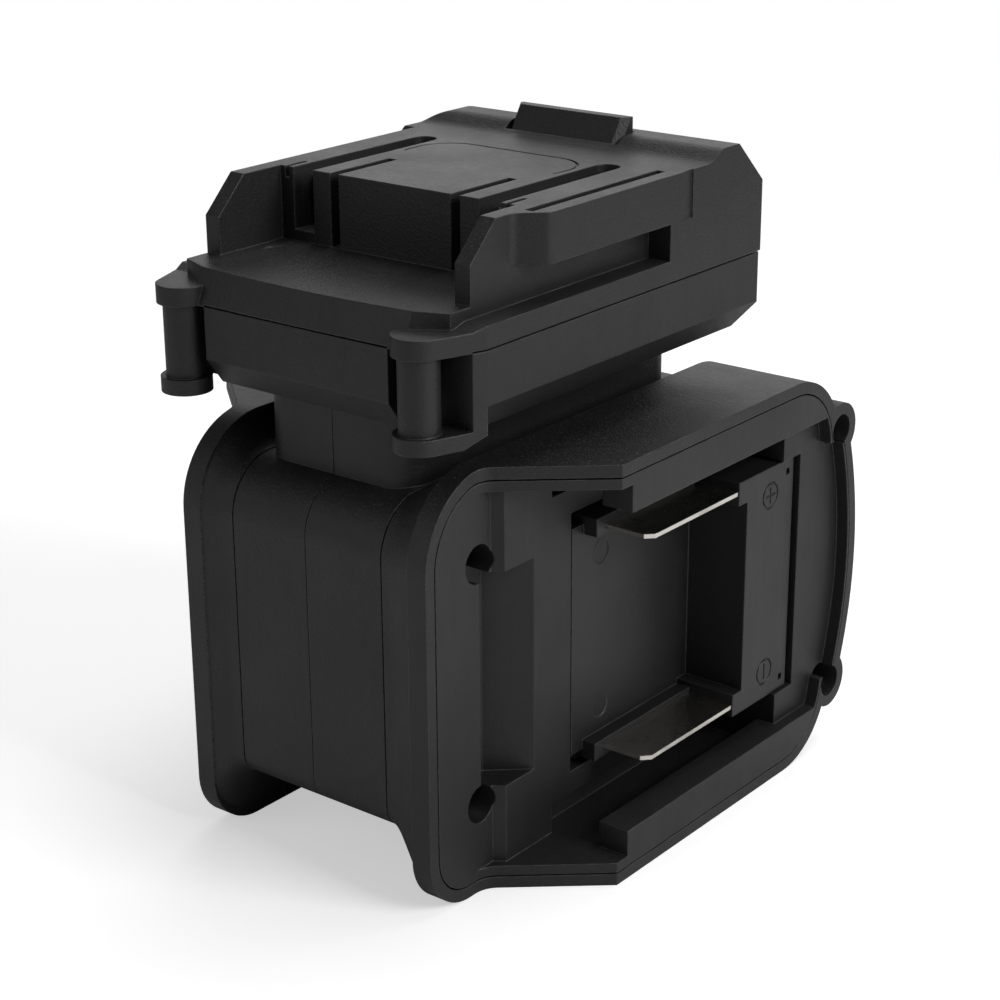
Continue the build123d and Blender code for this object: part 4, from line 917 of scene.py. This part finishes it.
class ADAPTER_OT_set_stage(bpy.types.Operator):
    """Sets the camera, the lamps, the floor and the surroundings"""

    bl_idname = "adapter.set_stage"
    bl_label = "Set Stage"

    def execute(self, context):
        settings = settings_of(context)
        scene = context.scene
        scene.view_settings.view_transform = "Standard"
        self.place_camera(scene, settings.camera)
        self.light(scene, settings.studio)
        self.lay_floor(scene, settings.studio)
        return {"FINISHED"}

    def place_camera(self, scene, view):
        """Points the camera as the photograph was taken."""
        data = bpy.data.cameras.new("photo_camera")
        data.sensor_width = SENSOR_WIDTH
        data.lens = view.lens
        data.clip_start = NEAREST
        camera = bpy.data.objects.new("photo_camera", data)
        scene.collection.objects.link(camera)
        sight = Vector((
            -math.sin(view.azimuth) * math.cos(view.elevation),
            math.cos(view.azimuth) * math.cos(view.elevation),
            -math.sin(view.elevation),
        ))
        level = Vector((math.cos(view.azimuth), math.sin(view.azimuth), 0))
        upright = level.cross(sight)
        right = level * math.cos(view.roll) + upright * math.sin(view.roll)
        above = upright * math.cos(view.roll) - level * math.sin(view.roll)
        turn = Matrix((right, above, -sight)).transposed()
        camera.matrix_world = Matrix.Translation(view.place) @ turn.to_4x4()
        scene.camera = camera

    def lamp(self, scene, name, place, power, width):
        """A soft square lamp that looks at the middle of the object."""
        data = bpy.data.lights.new(name, "AREA")
        data.energy = power
        data.size = width
        lamp = bpy.data.objects.new(name, data)
        lamp.location = place
        middle = (CAD_BOX[0] + CAD_BOX[1]) / 2
        lamp.rotation_euler = (middle - Vector(place)).to_track_quat("-Z", "Y").to_euler()
        scene.collection.objects.link(lamp)

    def light(self, scene, studio):
        """Key from the right, weak fill from the front, soft light from above and behind."""
        for setting, place, width in LAMPS:
            self.lamp(scene, setting + "_lamp", place, getattr(studio, setting), width)
        world = bpy.data.worlds.new("surroundings")
        scene.world = world
        world.use_nodes = True
        tree = world.node_tree
        tree.nodes.clear()
        path = tree.nodes.new("ShaderNodeLightPath")
        soft = tree.nodes.new("ShaderNodeBackground")
        soft.inputs["Strength"].default_value = studio.world
        white = tree.nodes.new("ShaderNodeBackground")
        mix = tree.nodes.new("ShaderNodeMixShader")
        end = tree.nodes.new("ShaderNodeOutputWorld")
        for background in (soft, white):
            background.inputs["Color"].default_value = WHITE
        tree.links.new(path.outputs["Is Camera Ray"], mix.inputs[0])
        tree.links.new(soft.outputs[0], mix.inputs[1])
        tree.links.new(white.outputs[0], mix.inputs[2])
        tree.links.new(mix.outputs[0], end.inputs["Surface"])

    def lay_floor(self, scene, studio):
        """A wide pale floor that the camera sees as white, with the object's shadow."""
        mesh = bpy.data.meshes.new("floor")
        signs = ((-1, -1), (1, -1), (1, 1), (-1, 1))
        corners = [(FLOOR_REACH * x, FLOOR_REACH * y, 0) for x, y in signs]
        mesh.from_pydata(corners, [], [tuple(range(len(corners)))])
        floor = bpy.data.objects.new("floor", mesh)
        scene.collection.objects.link(floor)
        shader = Shader("floor_paper")
        path = shader.node("ShaderNodeLightPath", {}, {})
        seen = Term(shader, path.outputs["Is Camera Ray"])
        away = shader.node(
            "ShaderNodeVectorMath", {"operation": "LENGTH"}, {0: shader.coordinates()}
        )
        far = Term(shader, away.outputs["Value"]).ramp(studio.fade_start, studio.fade_end)
        paper = shader.node("ShaderNodeBsdfDiffuse", {}, {"Color": rgba(studio.floor)})
        glow = shader.node("ShaderNodeEmission", {}, {"Strength": studio.floor_glow})
        white = shader.node("ShaderNodeEmission", {}, {"Strength": FULL_WHITE})
        both = shader.node("ShaderNodeAddShader", {}, {0: paper.outputs[0], 1: glow.outputs[0]})
        near = shader.node(
            "ShaderNodeMixShader", {}, {0: seen, 1: paper.outputs[0], 2: both.outputs[0]}
        )
        whole = shader.node(
            "ShaderNodeMixShader", {}, {0: seen * far, 1: near.outputs[0], 2: white.outputs[0]}
        )
        shader.node("ShaderNodeOutputMaterial", {}, {"Surface": whole.outputs[0]})
        mesh.materials.append(shader.material)


OPERATORS = (
    ADAPTER_OT_finish_casing,
    ADAPTER_OT_finish_contacts,
    ADAPTER_OT_finish_leads,
    ADAPTER_OT_turn_screws,
    ADAPTER_OT_wind_spring,
    ADAPTER_OT_set_stage,
)


class ADAPTER_PT_panel(bpy.types.Panel):
    """Lists the steps that dress the adapter"""

    bl_idname = "ADAPTER_PT_panel"
    bl_label = "Battery Adapter"
    bl_space_type = "VIEW_3D"
    bl_region_type = "UI"
    bl_category = "Adapter"

    def draw(self, context):
        column = self.layout.column()
        for operator in OPERATORS:
            column.operator(operator.bl_idname)
        settings = settings_of(context)
        for group in (
            settings.plastic,
            settings.metal,
            settings.leads,
            settings.spring,
            settings.screws,
        ):
            box = self.layout.box()
            for name in group.__annotations__:
                box.prop(group, name)


CLASSES = (
    PlasticSettings,
    MetalSettings,
    LeadSettings,
    SpringSettings,
    ScrewSettings,
    CameraSettings,
    StudioSettings,
    AdapterSettings,
    *OPERATORS,
    ADAPTER_PT_panel,
)


def register():
    """Registers the classes and the settings."""
    for kind in CLASSES:
        bpy.utils.register_class(kind)
    bpy.types.Scene.adapter_settings = bpy.props.PointerProperty(type=AdapterSettings)


def unregister():
    """Removes the settings and the classes."""
    del bpy.types.Scene.adapter_settings
    for kind in reversed(CLASSES):
        bpy.utils.unregister_class(kind)


def main():
    """Dresses the adapter and sets the stage."""
    register()
    bpy.ops.adapter.finish_casing()
    bpy.ops.adapter.finish_contacts()
    bpy.ops.adapter.finish_leads()
    bpy.ops.adapter.turn_screws()
    bpy.ops.adapter.wind_spring()
    bpy.ops.adapter.set_stage()


if __name__ == "__main__":
    main()
